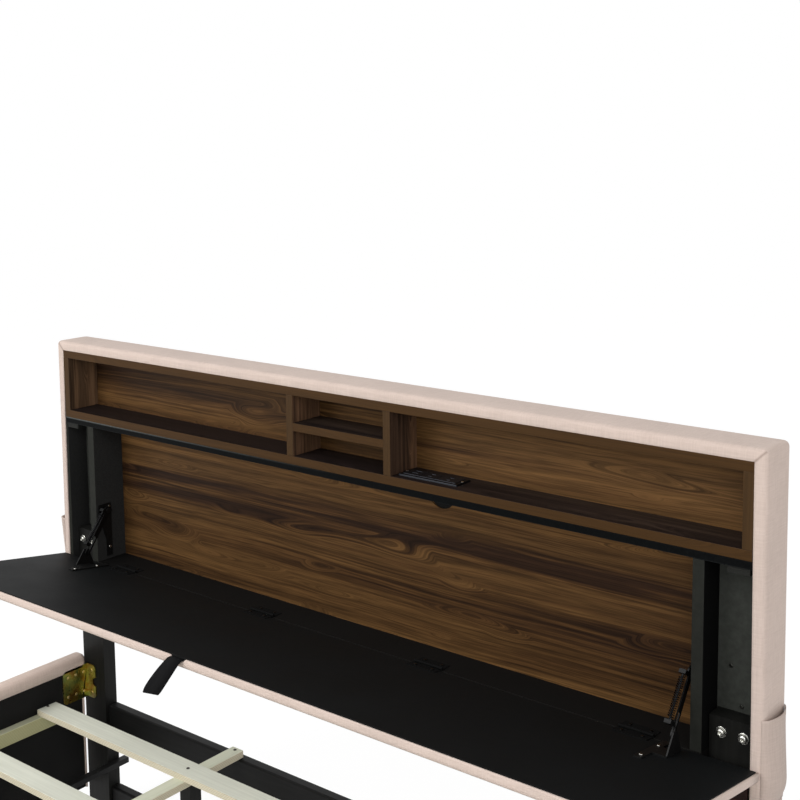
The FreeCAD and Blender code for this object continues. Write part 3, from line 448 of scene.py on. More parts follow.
def linen(name, seams=None, painted_light_level=1.0):
    """Blush linen-look weave on the piece's own cloth map, in metres, with slubs and soft shading."""
    finish = new_finish(name)
    cloth = new_node(finish, "UVMap")
    cloth.uv_map = "cloth"
    warp, weft = [wave(finish, cloth.outputs[0], direction, 300.0, 1.4, 0.6) for direction in ("X", "Y")]
    crossing = calc(finish, "MULTIPLY", warp, weft)
    slubs = []
    for stretch in ((30.0, 420.0, 1.0), (420.0, 30.0, 1.0)):
        fit = new_node(finish, "Mapping")
        fit.inputs["Scale"].default_value = stretch
        join(finish, cloth.outputs[0], fit.inputs["Vector"])
        slubs.append(noise(finish, fit.outputs["Vector"], 1.0, 4.0, 0.6))
    slub = calc(finish, "ADD", slubs[0], slubs[1])
    shade = noise(finish, object_place(finish, (14.0, 14.0, 14.0)), 1.0, 4.0, 0.55)
    colour = ramp(finish, calc(finish, "MULTIPLY", slub, 0.5),
                  [(0.30, (0.63, 0.505, 0.44)), (0.70, (0.77, 0.635, 0.565))])
    # painted_light_level scales the whole cloth lighter or darker: painted light or shade for a piece that
    # catches more or less light.
    colour = mixed(finish, "MULTIPLY", 1.0, colour, grey_ramp(finish, shade, 0.3, 0.7, 0.93 * painted_light_level, painted_light_level))
    colour = mixed(finish, "MULTIPLY", 0.4, colour, grey_ramp(finish, crossing, 0.0, 0.35, 0.72, 1.0))
    weave = bumped(finish, crossing, 0.0003, 0.5)
    weave = bumped(finish, slub, 0.0003, 0.3, weave)
    if seams is not None:
        # The seams darken the cloth in a thin line: painted shade in the fold of each seam.
        seam_shade_line = ramp(finish, seams(finish), [(0.0, (1.0, 1.0, 1.0)), (1.0, (0.46, 0.41, 0.39))])
        colour = mixed(finish, "MULTIPLY", 1.0, colour, seam_shade_line)
    shader_of(finish).inputs["Sheen Weight"].default_value = 0.12
    shader_of(finish).inputs["Sheen Roughness"].default_value = 0.5
    return surface(finish, colour, 0.88, 0.2, relief=weave)


def lay_cloth(build):
    """A cloth map in metres, laid flat on each face by the axis that it faces."""
    cloth = build.loops.layers.uv.new("cloth")
    build.normal_update()
    for face in build.faces:
        level = max(range(3), key=lambda axis: abs(face.normal[axis]))
        across, along = [axis for axis in range(3) if axis != level]
        for corner in face.loops:
            corner[cloth].uv = (corner.vert.co[across], corner.vert.co[along])


def round_off(build, width, wanted):
    """Rounds the wanted sharp edges, with enough steps to look soft."""
    sharp = [edge for edge in build.edges if len(edge.link_faces) == 2
             and edge.calc_face_angle(0.0) > 1.0 and wanted((edge.verts[0].co + edge.verts[1].co) / 2)]
    bmesh.ops.bevel(build, geom=sharp, offset=width, segments=6, profile=0.5, affect="EDGES", material=-1)


def eased(share):
    """A step from 0 to 1 with soft ends."""
    share = min(max(share, 0.0), 1.0)
    return share * share * (3.0 - 2.0 * share)


NEAR, FOAM_T, RAIL_ROLL, RAIL_SWELL, END_SWELL, END_RISE = 0.001, 0.003, 0.011, 0.003, 0.010, 0.005
END_DEPTH, SWELL_FROM_Z, SWELL_HEIGHT, RISE_FROM_Y, RISE_LENGTH = 0.02, 0.27, 0.07, 0.45, 0.55
SWELL_STEPS, RISE_STEPS = (0.20, 0.28, 0.31, RAIL_RETURN), (0.50, 0.60, 0.70, 0.80, 0.90)
# The rails' cloth is painted lighter than the shell's: painted light on the rails' tops.
rail_linen_painted_light = linen("rail_linen_painted_light", painted_light_level=1.08)
for side, name, node in ((-1, "rail_cover_left_cloth", "rail_cover_left"),
                         (1, "rail_cover_right_cloth", "rail_cover_right")):
    cover = block((RAIL_INNER_X - RAIL_SWELL, FOOT_INNER_Y, RAIL_BOTTOM),
                  (HALF_WIDTH, RAIL_HEAD_Y, RAIL_TOP + RAIL_SWELL))
    cut_at(cover, "z", *SWELL_STEPS)
    cut_at(cover, "y", *RISE_STEPS)
    gone = [face for face in cover.faces if face.normal.z < -0.5
            or face.normal.x < -0.5 and face.calc_center_median().z < RAIL_RETURN
            or face.normal.y < -0.5]
    bmesh.ops.delete(cover, geom=gone, context="FACES")
    round_off(cover, RAIL_ROLL, lambda c: True)
    for vert in cover.verts:
        if vert.co.y > RAIL_HEAD_Y - END_DEPTH:
            vert.co.y += END_SWELL * eased((vert.co.z - SWELL_FROM_Z) / SWELL_HEIGHT)
        if vert.co.z > RAIL_RETURN + NEAR:
            vert.co.z += END_RISE * eased((vert.co.y - RISE_FROM_Y) / RISE_LENGTH)
    bmesh.ops.solidify(cover, geom=cover.faces[:], thickness=FOAM_T)
    if side < 0:
        bmesh.ops.transform(cover, matrix=Matrix.Diagonal((-1.0, 1.0, 1.0, 1.0)), verts=cover.verts)
        bmesh.ops.reverse_faces(cover, faces=cover.faces)
    lay_cloth(cover)
    piece = new_piece(name, cover, rail_linen_painted_light, "bed")
    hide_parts(node)

foot = block((-HALF_WIDTH, FOOT_Y, RAIL_BOTTOM),
             (HALF_WIDTH, FOOT_INNER_Y + RAIL_SWELL, RAIL_TOP + RAIL_SWELL))
cut_at(foot, "z", RAIL_RETURN)
cut_at(foot, "x", -RAIL_INNER_X, RAIL_INNER_X)
gone = [face for face in foot.faces if face.normal.z < -0.5
        or face.normal.y > 0.5 and face.calc_center_median().z < RAIL_RETURN
        and abs(face.calc_center_median().x) < RAIL_INNER_X]
bmesh.ops.delete(foot, geom=gone, context="FACES")
round_off(foot, RAIL_ROLL, lambda c: True)
bmesh.ops.solidify(foot, geom=foot.faces[:], thickness=FOAM_T)
lay_cloth(foot)
piece = new_piece("foot_cover_cloth", foot, rail_linen_painted_light, "bed")
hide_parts("foot_cover")

# Rail boards and the headboard's top panel: raw pine boards, hidden by the covers but for their cut
# undersides.
raw_board = new_finish("raw_board")
raw_grain = noise(raw_board, object_place(raw_board, (30.0, 2.0, 30.0)), 3.0, 6.0, 0.6, 0.3)
surface(raw_board, ramp(raw_board, raw_grain, [(0.3, (0.42, 0.28, 0.15)), (0.7, (0.58, 0.42, 0.25))]), 0.75,
        relief=bumped(raw_board, raw_grain, 0.0003, 0.4))
dress(["side_rail_left", "side_rail_right", "foot_rail"], raw_board)
PANEL_EASE = 0.007
dress(["top_panel"], raw_board, PANEL_EASE)

# Headboard boards: black melamine-faced board with a fine dry texture; its sawn front edges are a
# little greyer than its faces.


def black_board(name, dark, light, edge, gloss):
    """Black faced board with a fine pebbled texture and a greyer edge to the front."""
    finish = new_finish(name)
    pebble = noise(finish, object_place(finish), 650.0, 4.0, 0.6)
    wear = noise(finish, object_place(finish, (7.0, 7.0, 3.0)), 1.0, 5.0, 0.6)
    chips = noise(finish, object_place(finish, (90.0, 90.0, 90.0)), 1.0, 4.0, 0.6)
    face = ramp(finish, pebble, [(0.3, dark), (0.72, light)])
    sawn = ramp(finish, chips, [(0.35, [part * 0.75 for part in edge]), (0.7, edge)])
    is_edge = grey_ramp(finish, facing(finish, "Y"), 0.6, 0.9)
    colour = mixed(finish, "MIX", is_edge, face, sawn)
    colour = mixed(finish, "MULTIPLY", 1.0, colour, grey_ramp(finish, wear, 0.3, 0.7, 0.9, 1.0))
    return surface(finish, colour, grey_ramp(finish, wear, 0.25, 0.75, gloss, gloss + 0.12), 0.1,
                   relief=bumped(finish, pebble, 0.00015, 0.5))


cabinet_black = black_board("cabinet_black", (0.017, 0.017, 0.017), (0.036, 0.036, 0.035),
                            (0.024, 0.025, 0.021), 0.55)
dress(["inner_board_left"], cabinet_black, 0.0007)
dress(["side_panels"], cabinet_black, PANEL_EASE)
# The right inner board stands in the gap's deep shadow; its copy of the board is near black on the faces:
# painted shade.
painted_shade_black = black_board("painted_shade_black", (0.001, 0.001, 0.001), (0.003, 0.003, 0.003),
                          (0.021, 0.022, 0.0185), 0.6)
dress(["inner_board_right"], painted_shade_black, 0.0007)
stile_black = black_board("stile_black", (0.018, 0.019, 0.017), (0.036, 0.038, 0.034),
                          (0.062, 0.066, 0.058), 0.5)
dress(["stiles"], stile_black)
# The compartment floor lies in shadow under the back, along the flap's hinge line; its copy of the board is
# near black: painted shade.
painted_shade_floor_black = black_board("painted_shade_floor_black", (0.003, 0.003, 0.003), (0.006, 0.0055, 0.005),
                          (0.008, 0.007, 0.006), 0.6)
dress(["floor_board"], painted_shade_floor_black, 0.0007)

# Cabinet top: the black board under the shelf, blue-black on its front edge. A thin painted highlight runs
# along the lower arris of its edging, and a brighter one along the upper arris towards the left end.
HIGHLIGHT_LOW, HIGHLIGHT_HIGH, HIGHLIGHT_TO_LEFT = (0.8934, 0.8942), (0.9046, 0.9050), -1.4


def own_place(material):
    """A surface point's own X, Y and Z in metres."""
    parts = new_node(material, "SeparateXYZ")
    join(material, object_place(material), parts.inputs[0])
    return parts.outputs


strip_black = new_finish("strip_black")
fleck = noise(strip_black, object_place(strip_black), 240.0, 4.0, 0.6)
strip_place = own_place(strip_black)
# Painted highlights: a thin pale line along the lower arris and a brighter one along the upper arris to the
# left.
highlight_below = grey_ramp(strip_black, strip_place["Z"], *HIGHLIGHT_LOW, 1.0, 0.0)
highlight_above = calc(strip_black, "MULTIPLY", grey_ramp(strip_black, strip_place["Z"], *HIGHLIGHT_HIGH),
                    calc(strip_black, "MULTIPLY", strip_place["X"], HIGHLIGHT_TO_LEFT))
strip_face = ramp(strip_black, fleck, [(0.3, (0.0018, 0.0021, 0.0023)), (0.66, (0.0038, 0.0043, 0.0045)),
                                       (0.76, (0.012, 0.013, 0.0135))])
lower_highlight = ramp(strip_black, fleck, [(0.3, (0.030, 0.035, 0.036)), (0.7, (0.054, 0.061, 0.062))])
upper_highlight = ramp(strip_black, fleck, [(0.3, (0.10, 0.11, 0.105)), (0.7, (0.17, 0.18, 0.175))])
strip_colour = mixed(strip_black, "MIX", highlight_below, strip_face, lower_highlight)
surface(strip_black, mixed(strip_black, "MIX", highlight_above, strip_colour, upper_highlight), 0.5, 0.04)
dress(["cabinet_top"], strip_black, 0.0009)

# Niche boards, back sheet and lower front board: walnut-faced board. The grain runs level on the
# back and the shelves and upright on the sides and dividers; its bands and fine lines lie nearly
# straight, and the lines arch and close round a few knots as in veneer.


def walnut(name, along, shift, light, middle, dark, edge, heights=None):
    """Dark walnut veneer with its grain along an axis and a plain edging to the front; heights gives the
    share of plain light wood and the depth of tone up the board, the latter partly a painted light."""
    finish = new_finish(name)
    lengthwise = "xyz".index(along)
    place = own_place(finish)
    length = place[lengthwise]
    across = calc(finish, "ADD", place[lengthwise - 1], place[lengthwise - 2])
    stretch = [1.1 if axis == lengthwise else 7.5 for axis in range(3)]
    drift = noise(finish, object_place(finish, stretch, shift), 1.0, 2.0, 0.42, 0.25)
    ripple = noise(finish, object_place(finish, [part * 4.0 for part in stretch], shift), 1.0, 2.0, 0.5, 0.3)
    eyes = noise(finish, object_place(finish, [part * 2.6 for part in stretch], shift), 1.0, 1.0)
    knots = grey_ramp(finish, eyes, 0.58, 0.80)
    level = calc(finish, "ADD", across, calc(finish, "MULTIPLY", drift, 0.030))
    arched = calc(finish, "ADD", level, calc(finish, "MULTIPLY", knots, 0.055))
    arched = calc(finish, "ADD", arched, calc(finish, "MULTIPLY", ripple, 0.005))

    def lines(field, run, count, detail):
        """Noise drawn out along the board and packed across it by a drifting field."""
        point = new_node(finish, "CombineXYZ")
        join(finish, calc(finish, "MULTIPLY", length, run), point.inputs[0])
        join(finish, calc(finish, "MULTIPLY", field, count), point.inputs[1])
        point.inputs[2].default_value = shift[0] * 3.7
        return noise(finish, point.outputs[0], 1.0, detail, 0.6)

    rings = lines(arched, 1.8, 150.0, 4.0)
    hairs = lines(arched, 12.0, 560.0, 2.0)
    spread = calc(finish, "ADD", lines(level, 0.35, 13.0, 2.0), calc(finish, "MULTIPLY", rings, 0.26))
    spread = calc(finish, "SUBTRACT", spread, 0.13)
    if heights is not None:
        plain, depth = [ramp(finish, place["Z"], [(stop, (share, share, share)) for stop, share in stops])
                        for stops in heights]
        spread = mixed(finish, "MIX", plain, spread, grey_ramp(finish, ripple, 0.3, 0.7, 0.53, 0.59))
    bands = ramp(finish, spread, [(0.36, dark), (0.44, dark), (0.49, middle), (0.55, light), (0.62, middle),
                                  (0.70, dark)])
    colour = mixed(finish, "MULTIPLY", 0.85, bands, grey_ramp(finish, rings, 0.36, 0.60, 0.45, 1.0))
    colour = mixed(finish, "MULTIPLY", 0.85, colour, grey_ramp(finish, hairs, 0.38, 0.60, 0.50, 1.0))
    if heights is not None:
        colour = mixed(finish, "MULTIPLY", 1.0, colour, depth)
    if edge != light:
        edging = ramp(finish, lines(arched, 4.0, 420.0, 2.0),
                      [(0.3, [part * 0.72 for part in edge]), (0.62, edge)])
        is_edge = grey_ramp(finish, facing(finish, "Y"), 0.6, 0.9)
        colour = mixed(finish, "MIX", is_edge, colour, edging)
    return surface(finish, colour, 0.52, 0.12, relief=bumped(finish, hairs, 0.0002, 0.3))


GOLD_BROWN, MID_BROWN, HEART_BROWN = (0.420, 0.212, 0.073), (0.257, 0.124, 0.044), (0.108, 0.050, 0.024)
PLAIN_SHARE = [(0.600, 0.75), (0.690, 0.42), (0.740, 0.1), (0.795, 0.0), (0.828, 0.7), (0.893, 0.9),
               (0.910, 0.4)]
# The tone up the back is partly the wood's own and partly painted light: the bright band from about 0.84 to
# 0.92 m, brightest at 0.893, lifts the shadow that the cabinet top casts there.
TONE_AND_PAINTED_LIGHT = [(0.600, 0.375), (0.680, 0.345), (0.836, 0.35), (0.858, 0.70), (0.893, 1.0), (0.915, 0.44),
              (1.0, 0.44)]
dress(["back_panel"], walnut("back_walnut", "x", (3.1, 0.0, 1.7), GOLD_BROWN, MID_BROWN, HEART_BROWN,
                             GOLD_BROWN, (PLAIN_SHARE, TONE_AND_PAINTED_LIGHT)))
SHELF_EDGE = (0.058, 0.0275, 0.0078)
dress(["niche_top", "shelf", "mid_shelf"],
      walnut("shelf_walnut", "x", (7.4, 2.0, 0.6), (0.0475, 0.0312, 0.0228), (0.0305, 0.0198, 0.0162),
             (0.0176, 0.0114, 0.0104), SHELF_EDGE), 0.0006)
UPRIGHT_EDGE = (0.058, 0.0300, 0.0105)
dress(["dividers"], walnut("divider_walnut", "z", (0.3, 5.0, 2.2), (0.207, 0.111, 0.061),
                           (0.138, 0.074, 0.043), (0.075, 0.0426, 0.0275), UPRIGHT_EDGE), 0.0006)
dress(["niche_sides"], walnut("side_walnut", "z", (2.3, 1.0, 6.2), (0.246, 0.140, 0.076),
                              (0.162, 0.093, 0.0515), (0.0896, 0.0526, 0.0314), UPRIGHT_EDGE), 0.0006)
# The lower front board sits in shade under the flap; its copy of the walnut is much darker: painted shade.
FRONT_SHADED_BROWN = (0.085, 0.034, 0.018)
dress(["lower_front_board"], walnut("front_walnut_painted_shade", "x", (1.0, 1.0, 4.0), FRONT_SHADED_BROWN,
                                    (0.038, 0.014, 0.009), (0.018, 0.007, 0.005), FRONT_SHADED_BROWN), 0.0006)

# Headboard cover: one linen cover over thin foam, drawn over the panels from a return round the
# front opening to a return behind. The top strip is mitred to the side strips at the front corners,
# and the sides swell outwards a little towards the open lower end.
NICHE_X, NICHE_TOP, SHELL_BOTTOM, FRONT_Y, TOP_Z = 0.781, 1.051, 0.525, 1.005, 1.070
SHELL_REAR, BACK_RETURN, SHELL_STEPS = 1.085, 0.0155, (0.60, 0.68, 0.76, 0.84, 0.92)
REAR_ROUND, REAR_OUT = {-1: 0.014, 1: 0.009}, {-1: 0.0, 1: 0.002}
SIDE_OUT = {-1: (0.0035, 0.0070), 1: (0.0002, 0.0028)}
RETURN_OUT = {-1: (0.0025, 0.0075), 1: (0.0000, 0.0038)}
RETURN_DEPTH, RETURN_LAP, SIDE_FROM = 0.014, 0.006, 0.004
SEAM_LINE, SEAM_SHADE, SEAM_DEPTH = (0.0003, 0.0011), 0.75, 0.005


def mitre_seams(finish):
    """A thin line from each inner corner of the front return to the outer corner."""
    place = own_place(finish)
    outward = calc(finish, "SUBTRACT", calc(finish, "ABSOLUTE", place["X"]), NICHE_X - NICHE_TOP)
    from_line = calc(finish, "ABSOLUTE", calc(finish, "SUBTRACT", outward, place["Z"]))
    in_front = calc(finish, "LESS_THAN", place["Y"], FRONT_Y + SEAM_DEPTH)
    return calc(finish, "MULTIPLY", grey_ramp(finish, from_line, *SEAM_LINE, SEAM_SHADE, 0.0), in_front)


def set_out(limits, height):
    """How far the shell's side or return stands out at a height, between its top and foot values."""
    return limits[0] + (limits[1] - limits[0]) * eased((TOP_Z - height) / (TOP_Z - SHELL_BOTTOM))


def behind_opening(face):
    """True for the faces that the front opening or the back sheet takes the place of."""
    middle = face.calc_center_median()
    if face.normal.z < -0.5:
        return True
    if face.normal.y < -0.5:
        return abs(middle.x) < NICHE_X and middle.z < NICHE_TOP
    if face.normal.y > 0.5:
        return abs(middle.x) < HALF_WIDTH - BACK_RETURN and middle.z < TOP_Z - BACK_RETURN
    return False


shell = block((-HALF_WIDTH, FRONT_Y, SHELL_BOTTOM), (HALF_WIDTH, SHELL_REAR, TOP_Z))
cut_at(shell, "x", -HALF_WIDTH + BACK_RETURN, -NICHE_X, NICHE_X, HALF_WIDTH - BACK_RETURN)
cut_at(shell, "z", *SHELL_STEPS, TOP_Z - BACK_RETURN, NICHE_TOP)
bmesh.ops.delete(shell, geom=[face for face in shell.faces if behind_opening(face)], context="FACES")
round_off(shell, REAR_ROUND[-1], lambda c: c.x < NEAR - HALF_WIDTH and c.y > SHELL_REAR - NEAR)
round_off(shell, REAR_ROUND[1], lambda c: True)
bmesh.ops.solidify(shell, geom=shell.faces[:], thickness=FOAM_T)
for vert in shell.verts:
    side = 1 if vert.co.x > 0.0 else -1
    if abs(vert.co.x) > NICHE_X + SIDE_FROM:
        back_share = (vert.co.y - FRONT_Y) / (SHELL_REAR - FRONT_Y)
        vert.co.x += side * (set_out(SIDE_OUT[side], vert.co.z) + REAR_OUT[side] * back_share)
    elif (abs(vert.co.x) > NICHE_X - RETURN_LAP and vert.co.y < FRONT_Y + RETURN_DEPTH
          and vert.co.z < NICHE_TOP - NEAR):
        vert.co.x += side * set_out(RETURN_OUT[side], vert.co.z)
lay_cloth(shell)
shell_linen = linen("shell_linen", mitre_seams, 0.97)
piece = new_piece("headboard_cloth", shell, shell_linen, "bed")
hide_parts("headboard_cover")

# Back cloth: a dark non-woven sheet stapled flat to the boards' rear edges, inside the cover's rear
# return, with a hole for a cable.
back_felt = felt("back_felt", (0.007, 0.007, 0.007), (0.018, 0.018, 0.0175))
CLOTH_HALF_LENGTH, CLOTH_TOP = 0.784, 1.054
back_sheet = bmesh.new()
back_sheet.from_mesh(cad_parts["back_cloth"].data)
bmesh.ops.remove_doubles(back_sheet, verts=back_sheet.verts, dist=0.00002)
for vert in back_sheet.verts:
    vert.co.x = min(max(vert.co.x, -CLOTH_HALF_LENGTH), CLOTH_HALF_LENGTH)
    vert.co.z = min(vert.co.z, CLOTH_TOP)
piece = new_piece("back_cloth_sheet", back_sheet, back_felt, "bed", smooth=False)
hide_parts("back_cloth")

# Side pockets: a linen pouch sewn to each side of the shell along its two upright edges and its
# foot, bellied out and hemmed round its open mouth.
POCKET_LOW, POCKET_HIGH, POCKET_FRONT, POCKET_REAR = 0.532, 0.674, 1.0065, 1.080
POCKET_BULGE, POCKET_SEAM, POCKET_T, HEM_HEIGHT, HEM_T = 0.0165, 0.0011, 0.0009, 0.014, 0.0006
FOOT_HEIGHT, FLARE_FROM, GUSSET_SHARE = 0.040, 0.585, 0.08
ARRIS_SHARE, ARRIS_IN, FOLD_OUT, BELLY_POWER, MOUTH_FLATTER = 0.14, 0.004, 0.0004, 2.2, 0.42
POCKET_FLARE = {-1: 0.0120, 1: 0.0}
# The pockets' cloth is painted darker than the shell's: painted shade on the sides of the shell.
pocket_linen_painted_shade = linen("pocket_linen_painted_shade", painted_light_level=0.82)
for side, name in ((-1, "pocket_left"), (1, "pocket_right")):
    pouch = bmesh.new()
    bmesh.ops.create_grid(pouch, x_segments=24, y_segments=30, size=0.5)
    for vert in pouch.verts:
        across = vert.co.x * 2.0
        rise = vert.co.y + 0.5
        height = POCKET_LOW + rise * (POCKET_HIGH - POCKET_LOW)
        belly = (1.0 - abs(across) ** BELLY_POWER) * (1.0 - MOUTH_FLATTER * eased(rise))
        belly *= math.sin(math.pi / 2 * min(1.0, (height - POCKET_LOW) / FOOT_HEIGHT))
        flare = max(0.0, height - FLARE_FROM) / (POCKET_HIGH - FLARE_FROM) * (1.0 - across) / 2
        flare *= POCKET_FLARE[side] * min(1.0, (across + 1.0) / GUSSET_SHARE)
        arris = ARRIS_IN * max(0.0, ARRIS_SHARE - 1.0 - across) / ARRIS_SHARE
        fold = FOLD_OUT * math.sin(across * 9.0 + rise * 4.0) * (1.0 - abs(across)) * (1.0 - rise)
        hem = HEM_T * (1.0 - across ** 4) if height > POCKET_HIGH - HEM_HEIGHT else 0.0
        out = HALF_WIDTH + POCKET_SEAM + POCKET_BULGE * belly + fold + hem - arris + flare
        depth = (POCKET_FRONT + POCKET_REAR) / 2 + across * (POCKET_REAR - POCKET_FRONT) / 2
        past_bend = max(0.0, depth - SHELL_REAR + REAR_ROUND[side])
        out -= REAR_ROUND[side] - math.sqrt(REAR_ROUND[side] ** 2 - past_bend ** 2)
        out += REAR_OUT[side] * (depth - FRONT_Y) / (SHELL_REAR - FRONT_Y)
        vert.co = (side * (out + set_out(SIDE_OUT[side], height)), depth, height)
    bmesh.ops.recalc_face_normals(pouch, faces=pouch.faces)
    if (pouch.faces[0].normal.x > 0.0) != (side > 0):
        bmesh.ops.reverse_faces(pouch, faces=pouch.faces)
    bmesh.ops.solidify(pouch, geom=pouch.faces[:], thickness=POCKET_T)
    lay_cloth(pouch)
    piece = new_piece(name + "_cloth", pouch, pocket_linen_painted_shade, "bed")
    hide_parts(name)

# Power outlet: a moulded black frame let into the shelf and held by bright screws, with three inset
# panels. Its front edges carry a painted highlight, a paler blue-grey than its tops.


def plastic_with_painted_highlight(name, fineness, top, front, gloss):
    """Moulded black plastic, speckled a little, with a painted highlight on the edges that face the front."""
    finish = new_finish(name)
    speck = noise(finish, object_place(finish), fineness, 2.0, 0.5)
    face, edge = [ramp(finish, speck, [(0.3, dark), (0.7, light)]) for dark, light in (top, front)]
    highlight_to_front = grey_ramp(finish, facing(finish, "Y"), 0.5, 0.8)
    return surface(finish, mixed(finish, "MIX", highlight_to_front, face, edge), gloss, 0.1)


FRAME_TOP, FRAME_FRONT_HIGHLIGHT = (((0.002, 0.002, 0.002), (0.005, 0.005, 0.0055)),
                          ((0.030, 0.032, 0.038), (0.048, 0.051, 0.059)))
PANEL_TOP, PANEL_FRONT_HIGHLIGHT = (((0.005, 0.005, 0.0058), (0.012, 0.0115, 0.0135)),
                          ((0.060, 0.063, 0.075), (0.095, 0.099, 0.115)))
dress(["outlet_housing"], plastic_with_painted_highlight("outlet_black", 900.0, FRAME_TOP, FRAME_FRONT_HIGHLIGHT, 0.34), 0.0004)
dress(["outlet_panels"], plastic_with_painted_highlight("outlet_panel_black", 1200.0, PANEL_TOP, PANEL_FRONT_HIGHLIGHT, 0.4), 0.0002)

# Bolts and small screws: bright zinc-plated steel, a little dulled. The post bolts have socket heads
# on washers and pass through the posts into the stiles; the screws inward of the stays, the hinges' own
# among them, are made nearly black, and those on the stiles darker.
STAY_SIDE_X, STILE_SIDE_X = 0.64, 0.715


def bright_steel(name, dark, light, fittings):
    """Zinc-plated steel; where asked, nearly black inward of the stays and darker on the stiles."""
    finish = new_finish(name)
    dull = noise(finish, object_place(finish, (220.0, 220.0, 220.0)), 1.0, 4.0, 0.55)
    colour = ramp(finish, dull, [(0.3, dark), (0.7, light)])
    if fittings:
        from_middle = calc(finish, "ABSOLUTE", own_place(finish)["X"])
        beyond = calc(finish, "GREATER_THAN", from_middle, STAY_SIDE_X)
        near_black = ramp(finish, dull, [(0.3, (0.006, 0.006, 0.006)), (0.7, (0.014, 0.014, 0.014))])
        colour = mixed(finish, "MIX", beyond, near_black, colour)
        on_stile = calc(finish, "GREATER_THAN", from_middle, STILE_SIDE_X)
        dulled = ramp(finish, dull, [(0.3, (0.05, 0.05, 0.045)), (0.7, (0.12, 0.12, 0.105))])
        colour = mixed(finish, "MIX", on_stile, colour, dulled)
    return surface(finish, colour, grey_ramp(finish, dull, 0.3, 0.7, 0.22, 0.36), metal=1.0)


BOLT_X, BOLT_Z, SHANK_R = (0.730, 0.765), (0.550, 0.630), 0.004
SOCKET_HEAD_WASHER = ((0.0, 0.0026), (0.0019, 0.0026), (0.0023, 0.0004), (0.0029, 0.0), (0.0048, 0.0006),
                      (0.0058, 0.0018), (0.0062, 0.0040), (0.0080, 0.0040), (0.0085, 0.0044),
                      (0.0085, 0.0056), (SHANK_R, 0.0056))
bolt_reach = [vert.co.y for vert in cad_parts["post_bolts"].data.vertices]
bolts = bmesh.new()
for x, z in [(side * x, z) for side in (-1, 1) for x in BOLT_X for z in BOLT_Z]:
    outline = [bolts.verts.new((x + radius, min(bolt_reach) + depth, z))
               for radius, depth in SOCKET_HEAD_WASHER]
    outline += [bolts.verts.new((x + radius, max(bolt_reach), z)) for radius in (SHANK_R, 0.0)]
    chain = [bolts.edges.new(pair) for pair in zip(outline, outline[1:])]
    bmesh.ops.spin(bolts, geom=outline + chain, cent=(x, 0.0, z), axis=(0.0, 1.0, 0.0), angle=2 * math.pi,
                   steps=24, use_merge=True, use_duplicate=False)
bmesh.ops.remove_doubles(bolts, verts=bolts.verts, dist=0.00001)
for crease in bolts.edges:
    crease.smooth = crease.calc_face_angle(0.0) < 0.7
bolt_zinc = bright_steel("bolt_zinc", (0.46, 0.46, 0.42), (0.70, 0.69, 0.64), False)
piece = new_piece("post_bolts_steel", bolts, bolt_zinc, "bed")
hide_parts("post_bolts")
dress(["outlet_screws"], bright_steel("outlet_screw_steel", (0.72, 0.70, 0.64), (0.92, 0.90, 0.85), False))
dress(["cabinet_screws", "flap_screws"],
      bright_steel("fitting_screw_steel", (0.40, 0.39, 0.36), (0.62, 0.60, 0.56), True))
dress(["strike_plates"], bright_steel("strike_steel", (0.12, 0.12, 0.12), (0.20, 0.20, 0.20), False))

# Hinges, catches and flap stays: pressed steel, black all over; the stays' coil springs are black
# drawn wire with a slight shine.
fitting_black = powder_coat("fitting_black", (0.002, 0.002, 0.002), (0.004, 0.004, 0.004), 0.5)
dress(["stay_bases", "stay_brackets"], fitting_black, 0.0003)
arm_black = powder_coat("arm_black", (0.002, 0.002, 0.002), (0.004, 0.004, 0.004), 0.38, 0.12)
dress(["stay_arm_left", "stay_arm_right"], arm_black, 0.0006)
dress(["magnetic_catches"],
      powder_coat("catch_black", (0.013, 0.013, 0.012), (0.024, 0.025, 0.022), 0.5, 0.1))
dress(["hinge_leaves_cabinet", "hinge_leaves_flap", "hinge_pins"],
      powder_coat("hinge_black", (0.003, 0.003, 0.003), (0.006, 0.006, 0.006), 0.75, 0.05))
dress(["stay_spring_left", "stay_spring_right"],
      speckled("spring_wire", 500.0, (1.0, 2.0, 0.5), (0.3, (0.008, 0.008, 0.009)),
               (0.7, (0.018, 0.018, 0.020)), 0.26, 1.0))

# Drop flap: a black board and liner, drawn shut and swung open on the hinge line. Linen over foam
# covers its outside, its free edge and both ends, and is pressed down where the pull strap leaves.
FLAP_OPEN = math.radians(80.6)
flap_axis = Vector((0.0, 1.0077, 0.6014))
swing = Matrix.Translation(flap_axis) @ Matrix.Rotation(FLAP_OPEN, 4, "X") @ Matrix.Translation(-flap_axis)
FLAP_OUT, FLAP_IN, FLAP_LOW, FLAP_HIGH, FLAP_HEM, FLAP_CROWN = 0.9865, 1.0028, 0.605, 0.9215, 0.004, 0.002
FLAP_ROLL, RIM_ROLL, FLAP_STEPS = 0.008, 0.0024, (0.64, 0.70, 0.77, 0.84, 0.89)
STRAP_X, STRAP_WIDTH, PRESS_MARGIN, PRESS_LOW, PRESS_Y, PRESS_SHARE = -0.084, 0.030, 0.002, 0.916, 0.998, 0.15
flap_black = black_board("flap_black", (0.0024, 0.0027, 0.0029), (0.0056, 0.0063, 0.0066),
                         (0.006, 0.006, 0.006), 0.55)
dress(["flap_liner", "flap_board"], flap_black, 0.0004)
cover = block((-HALF_WIDTH, FLAP_OUT, FLAP_LOW), (HALF_WIDTH, FLAP_IN, FLAP_HIGH))
round_off(cover, FLAP_ROLL, lambda c: c.y < FLAP_OUT + NEAR)
strap_sides = [STRAP_X + side * (STRAP_WIDTH / 2 + margin) for side in (-1, 1) for margin in (0.0, 0.004)]
cut_at(cover, "x", -HALF_WIDTH + FLAP_HEM, -0.74, -0.6, -0.4, -0.2, *strap_sides, 0.1, 0.3, 0.5, 0.7, 0.76,
       HALF_WIDTH - FLAP_HEM)
